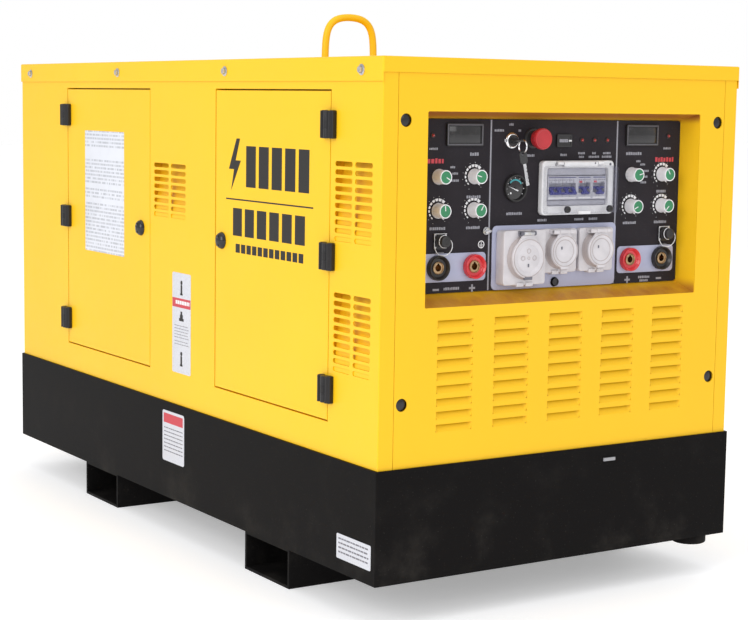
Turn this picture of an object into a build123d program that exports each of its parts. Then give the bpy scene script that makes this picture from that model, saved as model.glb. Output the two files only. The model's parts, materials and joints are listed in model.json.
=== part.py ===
from build123d import *
import math
import os

# Engine driven welder, an enclosed diesel set on a skid base with fork pockets.
# Millimetres. X runs along the length with the control end at +X, Y across, Z up.
# The origin is the middle of the footprint at the underside of the fork pockets.

# ---------------------------------------------------------------- overall sizes
body_length = 1700
body_width = 855
base_height = 212
canopy_height = 740
pocket_height = 80
sheet = 2
canopy_inset = 5
roof_overhang = 3
running_gap = 0.05

base_z = pocket_height
canopy_z = base_z + base_height
roof_z = canopy_z + canopy_height
face_y = body_width / 2 - canopy_inset
end_x = body_length / 2 - canopy_inset

# ---------------------------------------------------------------- base and pockets
tray_wall = 3
tray_floor = 4
tray_flange = 30
tray_end_flange = 16
end_lug = 4
pocket_width = 180
pocket_wall = 6
pocket_inset = 4
pocket_xs = (-357, 444)
sump_radius = 35
sump_drop = 18
sump_x = 812
sump_y = 365
floor_z = base_z + tray_floor

# ---------------------------------------------------------------- inner frame
post_size = 40
post_end_gap = 14
rail_size = 40
tube_wall = 3
portal_x = 50
portal_size = 60
rail_top = roof_z - 2 * sheet
rail_bottom = rail_top - rail_size
post_x = end_x - sheet - post_end_gap - post_size / 2

# ---------------------------------------------------------------- roof and lifting eye
roof_side_flange = 44
roof_end_flange = 28
bolt_xs = (-778, -259, 259, 778)
bolt_z = roof_z - 24
bolt_radius = 4
bolt_head_radius = 7.5
bolt_head = 5.5
washer_radius = 9.5
washer = 1.5
bolt_clearance = 0.5
eye_bar_radius = 8
eye_span = 127
eye_rise = 114

# ---------------------------------------------------------------- side panels and doors
corner_return = 32
top_return = 30
door_z0 = canopy_z + 66
door_height = 612
door_gap = 3
door_depth = 20
lip_depth = 26
lip_cover = 12
hinge_zs = (418, 666, 909)
hinge_proud = 7.5
hinge_leaf = 20
hinge_height = 50
hinge_pin_radius = 2.5
hinge_barrel_radius = 7.5
knuckle_gap = 0.4
knuckle_step = hinge_height / 3
frame_sections = ((-hinge_height / 2, -knuckle_step / 2), (knuckle_step / 2, hinge_height / 2))
door_sections = ((-knuckle_step / 2 + knuckle_gap, knuckle_step / 2 - knuckle_gap),)
lock_z = 664
lock_head_radius = 15
lock_stem_radius = 9
lock_tongue = 4
lock_tongue_width = 18
# each door: left edge, right edge, hinge side, distance of its lock from the free edge
door_layout = ((-551, -97, "left", 44), (217, 668, "right", 28))

slot_height = 9.5
slot_pitch = 15.3
# each vent field: columns as (left, right), top of the first slot, rows
vent_a = (((-75, -2), (8, 79)), 812, 8)
vent_b = (((687, 747), (756, 815)), 843, 10)
vent_c = (((687, 747), (756, 815)), 601, 10)
baffle_depth = 24
post_side_gap = 3.5
post_y = face_y - sheet - baffle_depth - post_side_gap - post_size / 2

# ---------------------------------------------------------------- control end
end_panel_gap = 1
recess_y = 326
recess_z0 = 582
recess_z1 = 936
recess_depth = 46
recess_rim = 12
panel_y = 316
panel_z0 = 602
panel_z1 = 923
panel_thick = 3
panel_clearance = 0.5
panel_x = end_x - recess_depth
access_hole_radius = 12
access_hole_zs = (409, 920)
louvre_width = 80
louvre_height = 14
louvre_depth = 11
louvre_pitch_y = 128.5
louvre_pitch_z = 24
louvre_top_z = 558.5
louvre_columns = 5
louvre_rows = 9

# ---------------------------------------------------------------- radiator end
grille_half_width = 290
grille_z0 = 390
grille_z1 = 850
grille_depth = 22
grille_bar = 3
slat_pitch = 23
slat_rise = 17
tail_clearance = 5

# ---------------------------------------------------------------- parts of the control panel
plate_thick = 2
socket_plate = (-146, 154, 602.8, 724)
output_plate = (160, 305, 623, 676)
knob_radius = 14
knob_length = 25
knob_cap_radius = 12.5
knob_cap = 1.5
knob_lift = 0.5
knob_shaft_radius = 3
knob_ys = (-270, -190, 190, 270)
knob_zs = (817, 755)
weld_socket_z = 650
weld_socket_ys = (-271, -189, 189, 271)
weld_socket_radius = 23
weld_socket_proud = 12
weld_contact_radius = 10
weld_bore_radius = 6.5
weld_bore_depth = 24
weld_key_width = 4
key_y = -106
key_z = 883
key_barrel_radius = 11
key_plug_radius = 7
stop_y = -56
stop_z = 887
stop_radius = 20
stop_travel = 5
stop_stem_radius = 7
stop_collar_radius = 15
stop_collar = 10
remote_ys = (-264, 280)
remote_z = 699
remote_flange = 30
remote_cap_radius = 11
remote_cap = 20

# ---------------------------------------------------------------- breaker box
module = 18
breaker_y = 48.5
breaker_z = 793
breaker_box_width = 8 * module + 31
breaker_box_z0 = 742
breaker_box_z1 = 845
breaker_frame = 12
breaker_nose = 45
breaker_nose_x = panel_x + 9
breaker_poles = (4, 2, 2)
lever_pivot_x = panel_x + 4
lever_hub_radius = 5
lever_reach = 15
lever_angle = -40
window_depth = 17
window_wall = 2
window_hinge_z = breaker_box_z1 - 4.5
window_pin_radius = 1.5
window_pivot_x = panel_x + breaker_frame + 5

# ---------------------------------------------------------------- power outlets
# each outlet: middle Y, middle Z, width, height, protrusion, cover radius
outlets = (
    (-87.5, 664.5, 99, 103, 32, 38),
    (5, 674, 84, 84, 24, 32),
    (95, 674, 84, 84, 24, 32),
)
outlet_plate = 9
outlet_well_radius = 22
outlet_well_depth = 18
cover_thick = 5
cover_pin_radius = 1.5
cover_knuckle_radius = 4.5
cover_knuckle_width = 24

# ---------------------------------------------------------------- engine and generator
shaft_z = 480
engine_x0 = -600
engine_x1 = -60
engine_half_width = 190
engine_z0 = 330
engine_z1 = 780
engine_wall = 14
engine_end_wall = 40
crank_radius = 30
flywheel_radius = 190
housing_radius = 215
housing_x1 = 60
stator_x1 = 500
stator_bore = 140
rotor_gap = 1
rotor_shaft_radius = 35
bed_rail_y = 150
bed_rail_width = 60
bed_rail_height = 80
bed_rail_x0 = -805
bed_rail_x1 = 540
mount_height = 40
mount_radius = 28
mount_xs = (-520, -130, 130, 430)
terminal_box_top = 740
fan_z = 610
fan_x = -710
fan_radius = 205
fan_blades = 6
fan_spindle_radius = 12
pulley_x = -632
pulley_width = 20
belt_width = 14
belt_thick = 8
crank_pulley_radius = 60
fan_pulley_radius = 50
belt_gap = 0.3
radiator_x = -772
radiator_depth = 40
radiator_half_width = 290
radiator_z0 = 262
radiator_z1 = 866
tail_y = 110
tail_z = 900
tail_radius = 25
bed_top = floor_z + bed_rail_height
feet_z = bed_top + mount_height


# ---------------------------------------------------------------- helpers
def block(x0, x1, y0, y1, z0, z1):
    """A box given by its low and high corners."""
    middle = Pos((x0 + x1) / 2, (y0 + y1) / 2, (z0 + z1) / 2)
    return middle * Box(x1 - x0, y1 - y0, z1 - z0)


def rod_x(x0, x1, y, z, radius):
    """A cylinder along X."""
    return Pos((x0 + x1) / 2, y, z) * Rot(0, 90, 0) * Cylinder(radius, x1 - x0)


def rod_y(x, y0, y1, z, radius):
    """A cylinder along Y."""
    return Pos(x, (y0 + y1) / 2, z) * Rot(90, 0, 0) * Cylinder(radius, y1 - y0)


def rod_z(x, y, z0, z1, radius):
    """A cylinder along Z."""
    return Pos(x, y, (z0 + z1) / 2) * Cylinder(radius, z1 - z0)


def cone_x(x0, x1, y, z, radius0, radius1):
    """A cone along X, from radius0 at x0 to radius1 at x1."""
    return Pos((x0 + x1) / 2, y, z) * Rot(0, 90, 0) * Cone(radius0, radius1, x1 - x0)


def hex_x(x0, x1, y, z, radius):
    """A hexagonal bar along X."""
    profile = Plane.YZ.offset(x0) * Pos(y, z) * RegularPolygon(radius, 6)
    return extrude(profile, x1 - x0)


def hex_y(x, y0, y1, z, radius):
    """A hexagonal bar along Y."""
    profile = Plane.XZ.offset(-y0) * Pos(x, z) * RegularPolygon(radius, 6)
    return extrude(profile, -(y1 - y0))


def rounded_plate(x0, x1, y0, y1, z0, z1, radius):
    """A plate facing X with rounded corners."""
    profile = RectangleRounded(y1 - y0, z1 - z0, radius)
    return extrude(Plane.YZ.offset(x0) * Pos((y0 + y1) / 2, (z0 + z1) / 2) * profile, x1 - x0)


def profile_along_y(points, y0, y1):
    """Extrudes an outline of (x, z) points from y0 to y1."""
    outline = Plane.XZ.offset(-y0) * make_face(Polyline(*points, close=True))
    return extrude(outline, -(y1 - y0))


def profile_along_z(points, z0, z1):
    """Extrudes an outline of (x, y) points from z0 to z1."""
    outline = Plane.XY.offset(z0) * make_face(Polyline(*points, close=True))
    return extrude(outline, z1 - z0)


def tube_block(x0, x1, y0, y1, z0, z1, wall, along):
    """A rectangular tube, open at both ends of the axis named by along."""
    grow = {"x": (0, 1, 1), "y": (1, 0, 1), "z": (1, 1, 0)}[along]
    inner = block(
        x0 + grow[0] * wall, x1 - grow[0] * wall,
        y0 + grow[1] * wall, y1 - grow[1] * wall,
        z0 + grow[2] * wall, z1 - grow[2] * wall,
    )
    return block(x0, x1, y0, y1, z0, z1) - inner


def group(*pieces):
    """Keeps separate solids together in one node."""
    solids = []
    for piece in pieces:
        solids.extend(piece.solids())
    return Compound(children=solids)


def both_sides(piece):
    """A piece and its mirror image across the length."""
    return group(piece, mirror(piece, about=Plane.XZ))


nodes = {}


# ---------------------------------------------------------------- base
def make_base_tray():
    """Open skid tray with an inward top flange, a sump cup below and a small lug on each end."""
    half_x = body_length / 2
    half_y = body_width / 2
    outer = block(-half_x, half_x, -half_y, half_y, base_z, canopy_z)
    outer = fillet(outer.edges().filter_by(Axis.Z), 3)
    inner = block(
        -half_x + tray_wall, half_x - tray_wall,
        -half_y + tray_wall, half_y - tray_wall,
        floor_z, canopy_z - tray_wall,
    )
    mouth = block(
        -half_x + tray_end_flange, half_x - tray_end_flange,
        -half_y + tray_flange, half_y - tray_flange,
        canopy_z - 2 * tray_wall, canopy_z + 1,
    )
    sump = rod_z(sump_x, sump_y, base_z - sump_drop, base_z, sump_radius)
    sump = fillet(sump.edges().sort_by(Axis.Z)[0], 4)
    lug_y = 112
    lug_z = base_z + 185
    lug = block(half_x, half_x + end_lug, lug_y - 14, lug_y + 14, lug_z - 3, lug_z + 3)
    return outer - inner - mouth + sump + lug + mirror(lug, about=Plane.YZ)


def make_fork_pockets():
    """Two rectangular tubes across the skid, for fork lift tines."""
    half_y = body_width / 2 - pocket_inset
    tubes = []
    for x in pocket_xs:
        x0 = x - pocket_width / 2
        tubes.append(tube_block(x0, x0 + pocket_width, -half_y, half_y, 0, base_z, pocket_wall, "y"))
    return group(*tubes)


def make_engine_rails():
    """Two tube rails on the tray floor that carry the engine and generator."""
    rails = []
    for y in (-bed_rail_y, bed_rail_y):
        y0 = y - bed_rail_width / 2
        rails.append(tube_block(bed_rail_x0, bed_rail_x1, y0, y0 + bed_rail_width, floor_z, bed_top, 4, "x"))
    return group(*rails)


def make_fuel_tank():
    """Welded tank at the control end, with a filler neck and its cap."""
    x0 = 560
    x1 = 780
    half_y = 340
    tank_top = floor_z + 300
    tank_wall = 3
    neck_x = 620
    neck_y = -295
    neck_top = tank_top + 70
    neck_radius = 26
    shell = block(x0, x1, -half_y, half_y, floor_z, tank_top)
    shell = fillet(shell.edges().filter_by(Axis.Z), 20)
    hollow = block(
        x0 + tank_wall, x1 - tank_wall,
        -half_y + tank_wall, half_y - tank_wall,
        floor_z + tank_wall, tank_top - tank_wall,
    )
    neck = rod_z(neck_x, neck_y, tank_top, neck_top, neck_radius)
    bore = rod_z(neck_x, neck_y, tank_top - 2 * tank_wall, neck_top + 1, neck_radius - tank_wall)
    tank = shell - fillet(hollow.edges().filter_by(Axis.Z), 18) + neck - bore
    cap = rod_z(neck_x, neck_y, neck_top, neck_top + 22, 38)
    cap = chamfer(cap.edges().sort_by(Axis.Z)[-1], 4)
    return group(tank, cap)


# ---------------------------------------------------------------- inner frame and lifting eye
def make_inner_frame():
    """Posts, top rails and the lifting portal that the panels are bolted to."""
    tubes = []
    rail_y1 = face_y - sheet
    rail_y0 = rail_y1 - rail_size
    rail_x = end_x - sheet - 1
    for sign in (-1, 1):
        low, high = sorted((sign * rail_y0, sign * rail_y1))
        rail = tube_block(-rail_x, rail_x, low, high, rail_bottom, rail_top, tube_wall, "x")
        for x in bolt_xs:
            rail -= rod_y(x, low - 1, high + 1, bolt_z, bolt_radius + running_gap)
        tubes.append(rail)
        post_low = sign * post_y - post_size / 2
        for x in (-post_x, post_x):
            post = tube_block(
                x - post_size / 2, x + post_size / 2, post_low, post_low + post_size,
                floor_z, rail_bottom, tube_wall, "z",
            )
            for z in access_hole_zs:
                post -= rod_x(x - post_size, x + post_size, sign * post_y, z, bolt_radius + running_gap)
            tubes.append(post)
        tubes.append(tube_block(
            portal_x - portal_size / 2, portal_x + portal_size / 2, post_low, post_low + post_size,
            floor_z, rail_bottom, tube_wall, "z",
        ))
    tubes.append(tube_block(
        portal_x - portal_size / 2, portal_x + portal_size / 2, -rail_y0, rail_y0,
        rail_bottom, rail_top, tube_wall, "y",
    ))
    return group(*tubes)


def make_lifting_eye():
    """Round bar bent to an arch, its legs welded to the lifting beam, with a collar on each leg."""
    half = eye_span / 2
    crown = roof_z + eye_rise - eye_bar_radius
    left_foot = (portal_x, -half, rail_top)
    right_foot = (portal_x, half, rail_top)
    spring_z = crown - half
    arch = Polyline(left_foot, (portal_x, -half, spring_z))
    arch += ThreePointArc((portal_x, -half, spring_z), (portal_x, 0, crown), (portal_x, half, spring_z))
    arch += Polyline((portal_x, half, spring_z), right_foot)
    bar = sweep(Plane(left_foot, z_dir=(0, 0, 1)) * Circle(eye_bar_radius), path=arch)
    for y in (-half, half):
        bar += rod_z(portal_x, y, roof_z, roof_z + 10, eye_bar_radius + 3)
    return bar


# ---------------------------------------------------------------- roof
def make_roof_cover():
    """Folded lid with deep side flanges, shallower end flanges and holes for its bolts and the eye."""
    half_x = end_x + roof_overhang
    half_y = face_y + roof_overhang
    lid = block(-half_x, half_x, -half_y, half_y, roof_z - roof_side_flange, roof_z)
    lid = fillet(lid.edges().filter_by(Axis.Z), 4)
    lid = fillet(lid.faces().sort_by(Axis.Z)[-1].edges(), 3)
    hollow = block(
        -half_x + sheet, half_x - sheet, -half_y + sheet, half_y - sheet,
        roof_z - roof_side_flange - 1, roof_z - sheet,
    )
    lid -= hollow
    for sign in (-1, 1):
        x0, x1 = sorted((sign * (half_x - 2 * sheet), sign * (half_x + 1)))
        lid -= block(
            x0, x1, -half_y + sheet, half_y - sheet,
            roof_z - roof_side_flange - 1, roof_z - roof_end_flange,
        )
        for x in bolt_xs:
            y0, y1 = sorted((sign * (half_y - 2 * sheet), sign * (half_y + 1)))
            lid -= rod_y(x, y0, y1, bolt_z, bolt_radius + bolt_clearance)
        lid -= rod_z(
            portal_x, sign * eye_span / 2, roof_z - 2 * sheet, roof_z + 1, eye_bar_radius + 1,
        )
    return lid


def make_fasteners():
    """Roof bolts with washers along both sides, and the deep bolts in both ends."""
    bolts = []
    seat_y = face_y + roof_overhang
    tip_y = face_y - sheet - tube_wall - 8
    for x in bolt_xs:
        bolt = rod_y(x, tip_y, seat_y + washer, bolt_z, bolt_radius)
        bolt += rod_y(x, seat_y, seat_y + washer, bolt_z, washer_radius)
        head = hex_y(x, seat_y + washer, seat_y + washer + bolt_head, bolt_z, bolt_head_radius)
        bolts.append(bolt + head)
    seat_x = post_x + post_size / 2
    for z in access_hole_zs:
        bolt = rod_x(seat_x - 12, seat_x, post_y, z, bolt_radius)
        bolt += hex_x(seat_x, seat_x + bolt_head, post_y, z, bolt_head_radius)
        bolts.append(bolt)
        bolts.append(mirror(bolt, about=Plane.YZ))
    return both_sides(group(*bolts))


# ---------------------------------------------------------------- side panels
def door_opening(x0, x1, grow, y0, y1):
    """The block of a door's opening, grown on all four edges."""
    z1 = door_z0 + door_height
    return block(x0 - grow, x1 + grow, y0, y1, door_z0 - grow, z1 + grow)


def vent_slots(field):
    """Cutters for one field of rounded slots in the -Y panel."""
    columns, top_z, rows = field
    cutters = []
    for left, right in columns:
        profile = SlotOverall(right - left, slot_height)
        for row in range(rows):
            z = top_z - slot_height / 2 - row * slot_pitch
            placed = Plane.XZ.offset(face_y + 1) * Pos((left + right) / 2, z) * profile
            cutters.append(extrude(placed, -(sheet + 2)))
    return cutters


def make_side_panel():
    """The -Y side: skin, corner returns, door rebates and vent slots."""
    inner_y = -face_y + sheet
    top = roof_z - sheet
    skin = block(-end_x, end_x, -face_y, inner_y, canopy_z, top)
    for sign in (-1, 1):
        x0, x1 = sorted((sign * (end_x - sheet), sign * end_x))
        skin += block(x0, x1, -face_y, -face_y + corner_return, canopy_z, top)
    corners = skin.edges().filter_by(Axis.Z).filter_by_position(Axis.Y, -face_y - 0.1, -face_y + 0.1)
    skin = fillet(corners, 1.8)
    skin += block(
        -end_x + 2 * sheet, end_x - 2 * sheet, inner_y, -face_y + top_return, top - sheet, top,
    )
    lip_y = -face_y + lip_depth
    for x0, x1, hinge_side, lock_offset in door_layout:
        skin -= door_opening(x0, x1, door_gap, -face_y - 1, inner_y + 1)
        rebate = door_opening(x0, x1, door_gap + sheet, inner_y, lip_y + sheet)
        rebate -= door_opening(x0, x1, door_gap, inner_y - 1, lip_y)
        rebate -= door_opening(x0, x1, -lip_cover, lip_y - 1, lip_y + sheet + 1)
        skin += rebate
    skin -= vent_slots(vent_a) + vent_slots(vent_b) + vent_slots(vent_c)
    holes = []
    for x in bolt_xs:
        holes.append(rod_y(x, -face_y - 1, inner_y + 1, bolt_z, bolt_radius + bolt_clearance))
    return skin - holes


def make_vent_baffles():
    """Sloped hoods behind the vent slots, with closed cheeks, on both sides."""
    inner_y = -face_y + sheet
    hoods = []
    for columns, top_z, rows in (vent_a, vent_b, vent_c):
        x0 = columns[0][0] - 6
        x1 = columns[-1][1] + 6
        z1 = top_z + 8
        z0 = top_z - (rows - 1) * slot_pitch - slot_height - 10
        outline = ((inner_y, z0), (inner_y + baffle_depth, z1), (inner_y, z1))
        wedge = extrude(Plane.YZ.offset(x0) * make_face(Polyline(*outline, close=True)), x1 - x0)
        core = Pos(0, -1.2 * sheet, 0.4 * sheet) * wedge
        core = core & block(x0 + sheet, x1 - sheet, -face_y, 0, z0, z1 + 9)
        mouth = block(x0 + sheet, x1 - sheet, inner_y - 1, inner_y + baffle_depth - 2 * sheet, z1 - 4, z1 + 1)
        hoods.append(wedge - core - mouth)
    return both_sides(group(*hoods))


# ---------------------------------------------------------------- doors, hinges and locks
def leaf_outline(pin_x, side):
    """Outline of a hinge leaf on one side of the pin, sloping down towards the barrel."""
    face = -face_y
    top = face - 2 * hinge_proud
    near = hinge_barrel_radius + 0.6
    return (
        (pin_x + side * near, face),
        (pin_x + side * hinge_leaf, face),
        (pin_x + side * hinge_leaf, face - hinge_proud),
        (pin_x + side * (hinge_leaf - 4), top + 1.5),
        (pin_x + side * (near + 4.4), top + 0.5),
        (pin_x + side * near, face - hinge_proud - 1),
    )


def hinge_leaf_solid(pin_x, side, z, sections):
    """A leaf with its share of the barrel; sections are (z0, z1) heights that it owns."""
    pin_y = -face_y - hinge_proud
    half = hinge_height / 2
    leaf = profile_along_z(leaf_outline(pin_x, side), z - half, z + half)
    for z0, z1 in sections:
        barrel = rod_z(pin_x, pin_y, z + z0, z + z1, hinge_barrel_radius)
        x0, x1 = sorted((pin_x, pin_x + side * (hinge_barrel_radius + 1)))
        web = block(x0, x1, pin_y, -face_y - 0.4, z + z0, z + z1)
        leaf += barrel + web
    return leaf


def door_pin_x(x0, x1, hinge_side):
    """X of a door's hinge pins, in the middle of the gap at its hinged edge."""
    if hinge_side == "left":
        return x0 - door_gap / 2
    return x1 + door_gap / 2


def make_hinge_brackets():
    """Frame-side hinge leaves and the pins, for all four doors."""
    pieces = []
    half = hinge_height / 2
    for x0, x1, hinge_side, lock_offset in door_layout:
        pin_x = door_pin_x(x0, x1, hinge_side)
        side = -1 if hinge_side == "left" else 1
        for z in hinge_zs:
            leaf = hinge_leaf_solid(pin_x, side, z, frame_sections)
            pin_y = -face_y - hinge_proud
            leaf -= rod_z(pin_x, pin_y, z - half - 1, z + half + 1, hinge_pin_radius)
            pieces.append(leaf)
            pieces.append(rod_z(pin_x, pin_y, z - half, z + half, hinge_pin_radius))
    return both_sides(group(*pieces))


def make_door(x0, x1, hinge_side, lock_offset):
    """A shallow tray door with three hinge leaves and a hole for its lock, on the -Y side."""
    z1 = door_z0 + door_height
    tray = block(x0, x1, -face_y, -face_y + door_depth, door_z0, z1)
    tray = fillet(tray.faces().sort_by(Axis.Y)[0].edges(), 1.2)
    tray -= block(
        x0 + sheet, x1 - sheet, -face_y + sheet, -face_y + door_depth + 1, door_z0 + sheet, z1 - sheet,
    )
    side = 1 if hinge_side == "left" else -1
    pin_x = door_pin_x(x0, x1, hinge_side)
    pin_y = -face_y - hinge_proud
    lock_x = x1 - lock_offset if hinge_side == "left" else x0 + lock_offset
    tray -= rod_y(lock_x, -face_y - 1, -face_y + sheet + 1, lock_z, lock_stem_radius + running_gap)
    leaves = []
    for z in hinge_zs:
        leaf = hinge_leaf_solid(pin_x, side, z, door_sections)
        leaf -= rod_z(pin_x, pin_y, z - hinge_height, z + hinge_height, hinge_pin_radius + running_gap)
        leaves.append(leaf)
    return group(tray, *leaves)


def make_door_lock(x0, x1, hinge_side, lock_offset):
    """Quarter-turn lock: a domed head with a grip bar, a stem and an upright tongue behind the rebate."""
    side = 1 if hinge_side == "left" else -1
    lock_x = x1 - lock_offset if hinge_side == "left" else x0 + lock_offset
    tongue_y = -face_y + lip_depth + sheet + 1
    reach = lock_offset - lip_cover + 8
    head = rod_y(lock_x, -face_y - 7, -face_y - 0.3, lock_z, lock_head_radius)
    head = fillet(head.edges().sort_by(Axis.Y)[0], 4)
    grip = block(lock_x - 3.5, lock_x + 3.5, -face_y - 12, -face_y - 5, lock_z - 12, lock_z + 12)
    stem = rod_y(lock_x, -face_y - 1, tongue_y, lock_z, lock_stem_radius)
    half = lock_tongue_width / 2
    tongue = block(
        lock_x - half, lock_x + half, tongue_y, tongue_y + lock_tongue, lock_z - half, lock_z + reach,
    )
    return head + fillet(grip.edges().filter_by(Axis.X), 3) + stem + tongue


# ---------------------------------------------------------------- control end
def louvre_pieces():
    """Cutters and pressed scoops of the louvre field in the +X end panel."""
    cutters = []
    scoops = []
    outer = end_x
    inner = end_x - sheet
    for column in range(louvre_columns):
        y = (column - (louvre_columns - 1) / 2) * louvre_pitch_y
        y0 = y - louvre_width / 2
        y1 = y + louvre_width / 2
        for row in range(louvre_rows):
            z1 = louvre_top_z - row * louvre_pitch_z
            z0 = z1 - louvre_height
            cutters.append(block(inner - 1, outer + 1, y0, y1, z0, z1))
            blade = (
                (outer, z0), (inner, z0 - 1),
                (inner - louvre_depth, z1), (outer - louvre_depth, z1),
            )
            cheek = ((outer, z0), (outer, z1), (inner - louvre_depth, z1), (inner, z0))
            scoops.append(profile_along_y(blade, y0, y1))
            scoops.append(profile_along_y(cheek, y0 - 0.01, y0 + sheet))
            scoops.append(profile_along_y(cheek, y1 - sheet, y1 + 0.01))
    return cutters, scoops


def end_sheet(sign):
    """A blank end panel with its top and side returns; sign picks the end."""
    half_y = face_y - corner_return - end_panel_gap
    top = roof_z - sheet
    panel = block(end_x - sheet, end_x, -half_y, half_y, canopy_z, top)
    panel += block(end_x - top_return, end_x - sheet / 2, -half_y, half_y, top - sheet, top)
    for side in (-1, 1):
        y0, y1 = sorted((side * (half_y - sheet), side * half_y))
        panel += block(
            end_x - sheet - post_end_gap, end_x - sheet / 2, y0, y1, canopy_z, rail_bottom - 1,
        )
        for z in access_hole_zs:
            panel -= rod_x(end_x - 2 * sheet, end_x + 1, side * post_y, z, access_hole_radius)
    if sign < 0:
        panel = mirror(panel, about=Plane.YZ)
    return panel


def make_control_end_panel():
    """The +X end: recess opening, pressed louvres and deep bolt holes."""
    panel = end_sheet(1)
    panel -= block(end_x - 2 * sheet, end_x + 1, -recess_y, recess_y, recess_z0, recess_z1)
    cutters, scoops = louvre_pieces()
    panel -= cutters
    return panel + scoops


def make_control_recess():
    """Tapered box behind the end panel, with a rim at the mouth and a ledge that holds the panel."""
    mouth_x = end_x - sheet
    back_x = panel_x - panel_thick
    middle_back = (panel_z0 + panel_z1) / 2
    middle_mouth = (recess_z0 + recess_z1) / 2
    height_back = panel_z1 - panel_z0
    height_mouth = recess_z1 - recess_z0

    def funnel(grow, x_start, x_stop):
        back = Plane.YZ.offset(x_start) * Pos(0, middle_back)
        mouth = Plane.YZ.offset(x_stop) * Pos(0, middle_mouth)
        small = back * Rectangle(2 * (panel_y + grow), height_back + 2 * grow)
        large = mouth * Rectangle(2 * (recess_y + grow), height_mouth + 2 * grow)
        return loft([small.face(), large.face()], ruled=True)

    shell = funnel(sheet, back_x, mouth_x) - funnel(0, back_x, mouth_x)
    rim = rounded_plate(
        mouth_x - sheet, mouth_x, -recess_y - recess_rim, recess_y + recess_rim,
        recess_z0 - recess_rim, recess_z1 + recess_rim, 4,
    )
    rim -= block(mouth_x - 2 * sheet, mouth_x + 1, -recess_y, recess_y, recess_z0, recess_z1)
    ledge = block(
        back_x - sheet, back_x, -panel_y - sheet, panel_y + sheet, panel_z0 - sheet, panel_z1 + sheet,
    )
    ledge -= block(
        back_x - sheet - 1, back_x + 1, -panel_y + recess_rim, panel_y - recess_rim,
        panel_z0 + recess_rim, panel_z1 - recess_rim,
    )
    return shell + rim + ledge


def make_radiator_end_panel():
    """The -X end: an opening with a frame of sloped slats behind it, and a hole for the tail pipe."""
    face = -end_x
    half = grille_half_width
    sides = half + grille_bar
    panel = end_sheet(-1)
    panel -= block(face - 1, face + sheet + 1, -half, half, grille_z0, grille_z1)
    panel -= rod_x(face - 1, face + sheet + 1, tail_y, tail_z, tail_radius + tail_clearance)
    back = face + grille_depth
    for y in (-sides, -half / 3, half / 3, half):
        panel += block(face + sheet / 2, back, y, y + grille_bar, grille_z0 - 5, grille_z1 + 5)
    count = int((grille_z1 - grille_z0 - grille_bar) / slat_pitch)
    for index in range(count):
        z = grille_z0 + grille_bar + index * slat_pitch
        outline = (
            (face + sheet / 4, z), (back, z + slat_rise), (back - 1.5, z + slat_rise + 1.5),
            (face + sheet / 4, z + sheet),
        )
        panel += profile_along_y(outline, -sides + 1, sides - 1)
    return panel


# ---------------------------------------------------------------- control panel
def make_control_panel():
    """Black panel plate with holes for everything mounted through it."""
    plate = rounded_plate(
        panel_x - panel_thick, panel_x, -panel_y + panel_clearance, panel_y - panel_clearance,
        panel_z0 + panel_clearance, panel_z1 - panel_clearance, 6,
    )
    x0 = panel_x - panel_thick - 1
    x1 = panel_x + 1
    for y in knob_ys:
        for z in knob_zs:
            plate -= rod_x(x0, x1, y, z, knob_shaft_radius + running_gap)
    for y in weld_socket_ys:
        plate -= rod_x(x0, x1, y, weld_socket_z, weld_contact_radius + 1)
    plate -= rod_x(x0, x1, key_y, key_z, key_plug_radius + 1)
    plate -= rod_x(x0, x1, stop_y, stop_z, stop_stem_radius + 1)
    plate -= block(
        x0, x1, breaker_y - 4 * module - 1, breaker_y + 4 * module + 1,
        breaker_z - breaker_nose / 2 - 1, breaker_z + breaker_nose / 2 + 1,
    )
    return plate


def make_panel_plates():
    """Blue-grey plates behind the outlets and the weld sockets, the thumb screw and the earth stud."""
    y0, y1, z0, z1 = socket_plate
    pieces = [rounded_plate(panel_x, panel_x + plate_thick, y0, y1, z0, z1, 10)]
    y0, y1, z0, z1 = output_plate
    for low, high in ((y0, y1), (-y1, -y0)):
        plate = rounded_plate(panel_x, panel_x + plate_thick, low, high, z0, z1, 8)
        for y in weld_socket_ys:
            plate -= rod_x(panel_x - 1, panel_x + plate_thick + 1, y, weld_socket_z, weld_contact_radius + 1)
        pieces.append(plate)
    thumb_x = panel_x + plate_thick
    thumb = rod_x(thumb_x, thumb_x + 9, 4, 613, 7.5)
    pieces.append(chamfer(thumb.edges().sort_by(Axis.X)[-1], 1.5))
    stud = rod_x(panel_x, panel_x + 14, -159, 715, 3)
    pieces.append(stud + hex_x(panel_x, panel_x + 5, -159, 715, 6.5))
    return group(*pieces)


def make_panel_instruments():
    """Two meters, an hour meter, a fuel gauge and the warning and pilot lamps."""
    pieces = []
    for y in (-214, 214):
        bezel = rounded_plate(panel_x, panel_x + 5, y - 41, y + 41, 873, 914.5, 3)
        bezel -= rounded_plate(panel_x + 3, panel_x + 6, y - 36, y + 36, 878, 909.5, 2)
        pieces.append(bezel)
    hour = rounded_plate(panel_x, panel_x + 4, 1, 37, 871, 895, 3)
    hour -= rounded_plate(panel_x + 3, panel_x + 5, 5, 33, 876, 890, 1)
    pieces.append(hour)
    gauge = rod_x(panel_x, panel_x + 7, -95, 794, 26)
    gauge -= rod_x(panel_x + 4, panel_x + 8, -95, 794, 23)
    pieces.append(gauge)
    for y, z in ((-284, 892.5), (284, 892.5), (64, 884), (95, 884), (127, 884)):
        lamp = rod_x(panel_x, panel_x + 2, y, z, 5) + rod_x(panel_x, panel_x + 5, y, z, 3)
        pieces.append(fillet(lamp.edges().sort_by(Axis.X)[-1], 2))
    return group(*pieces)


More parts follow.
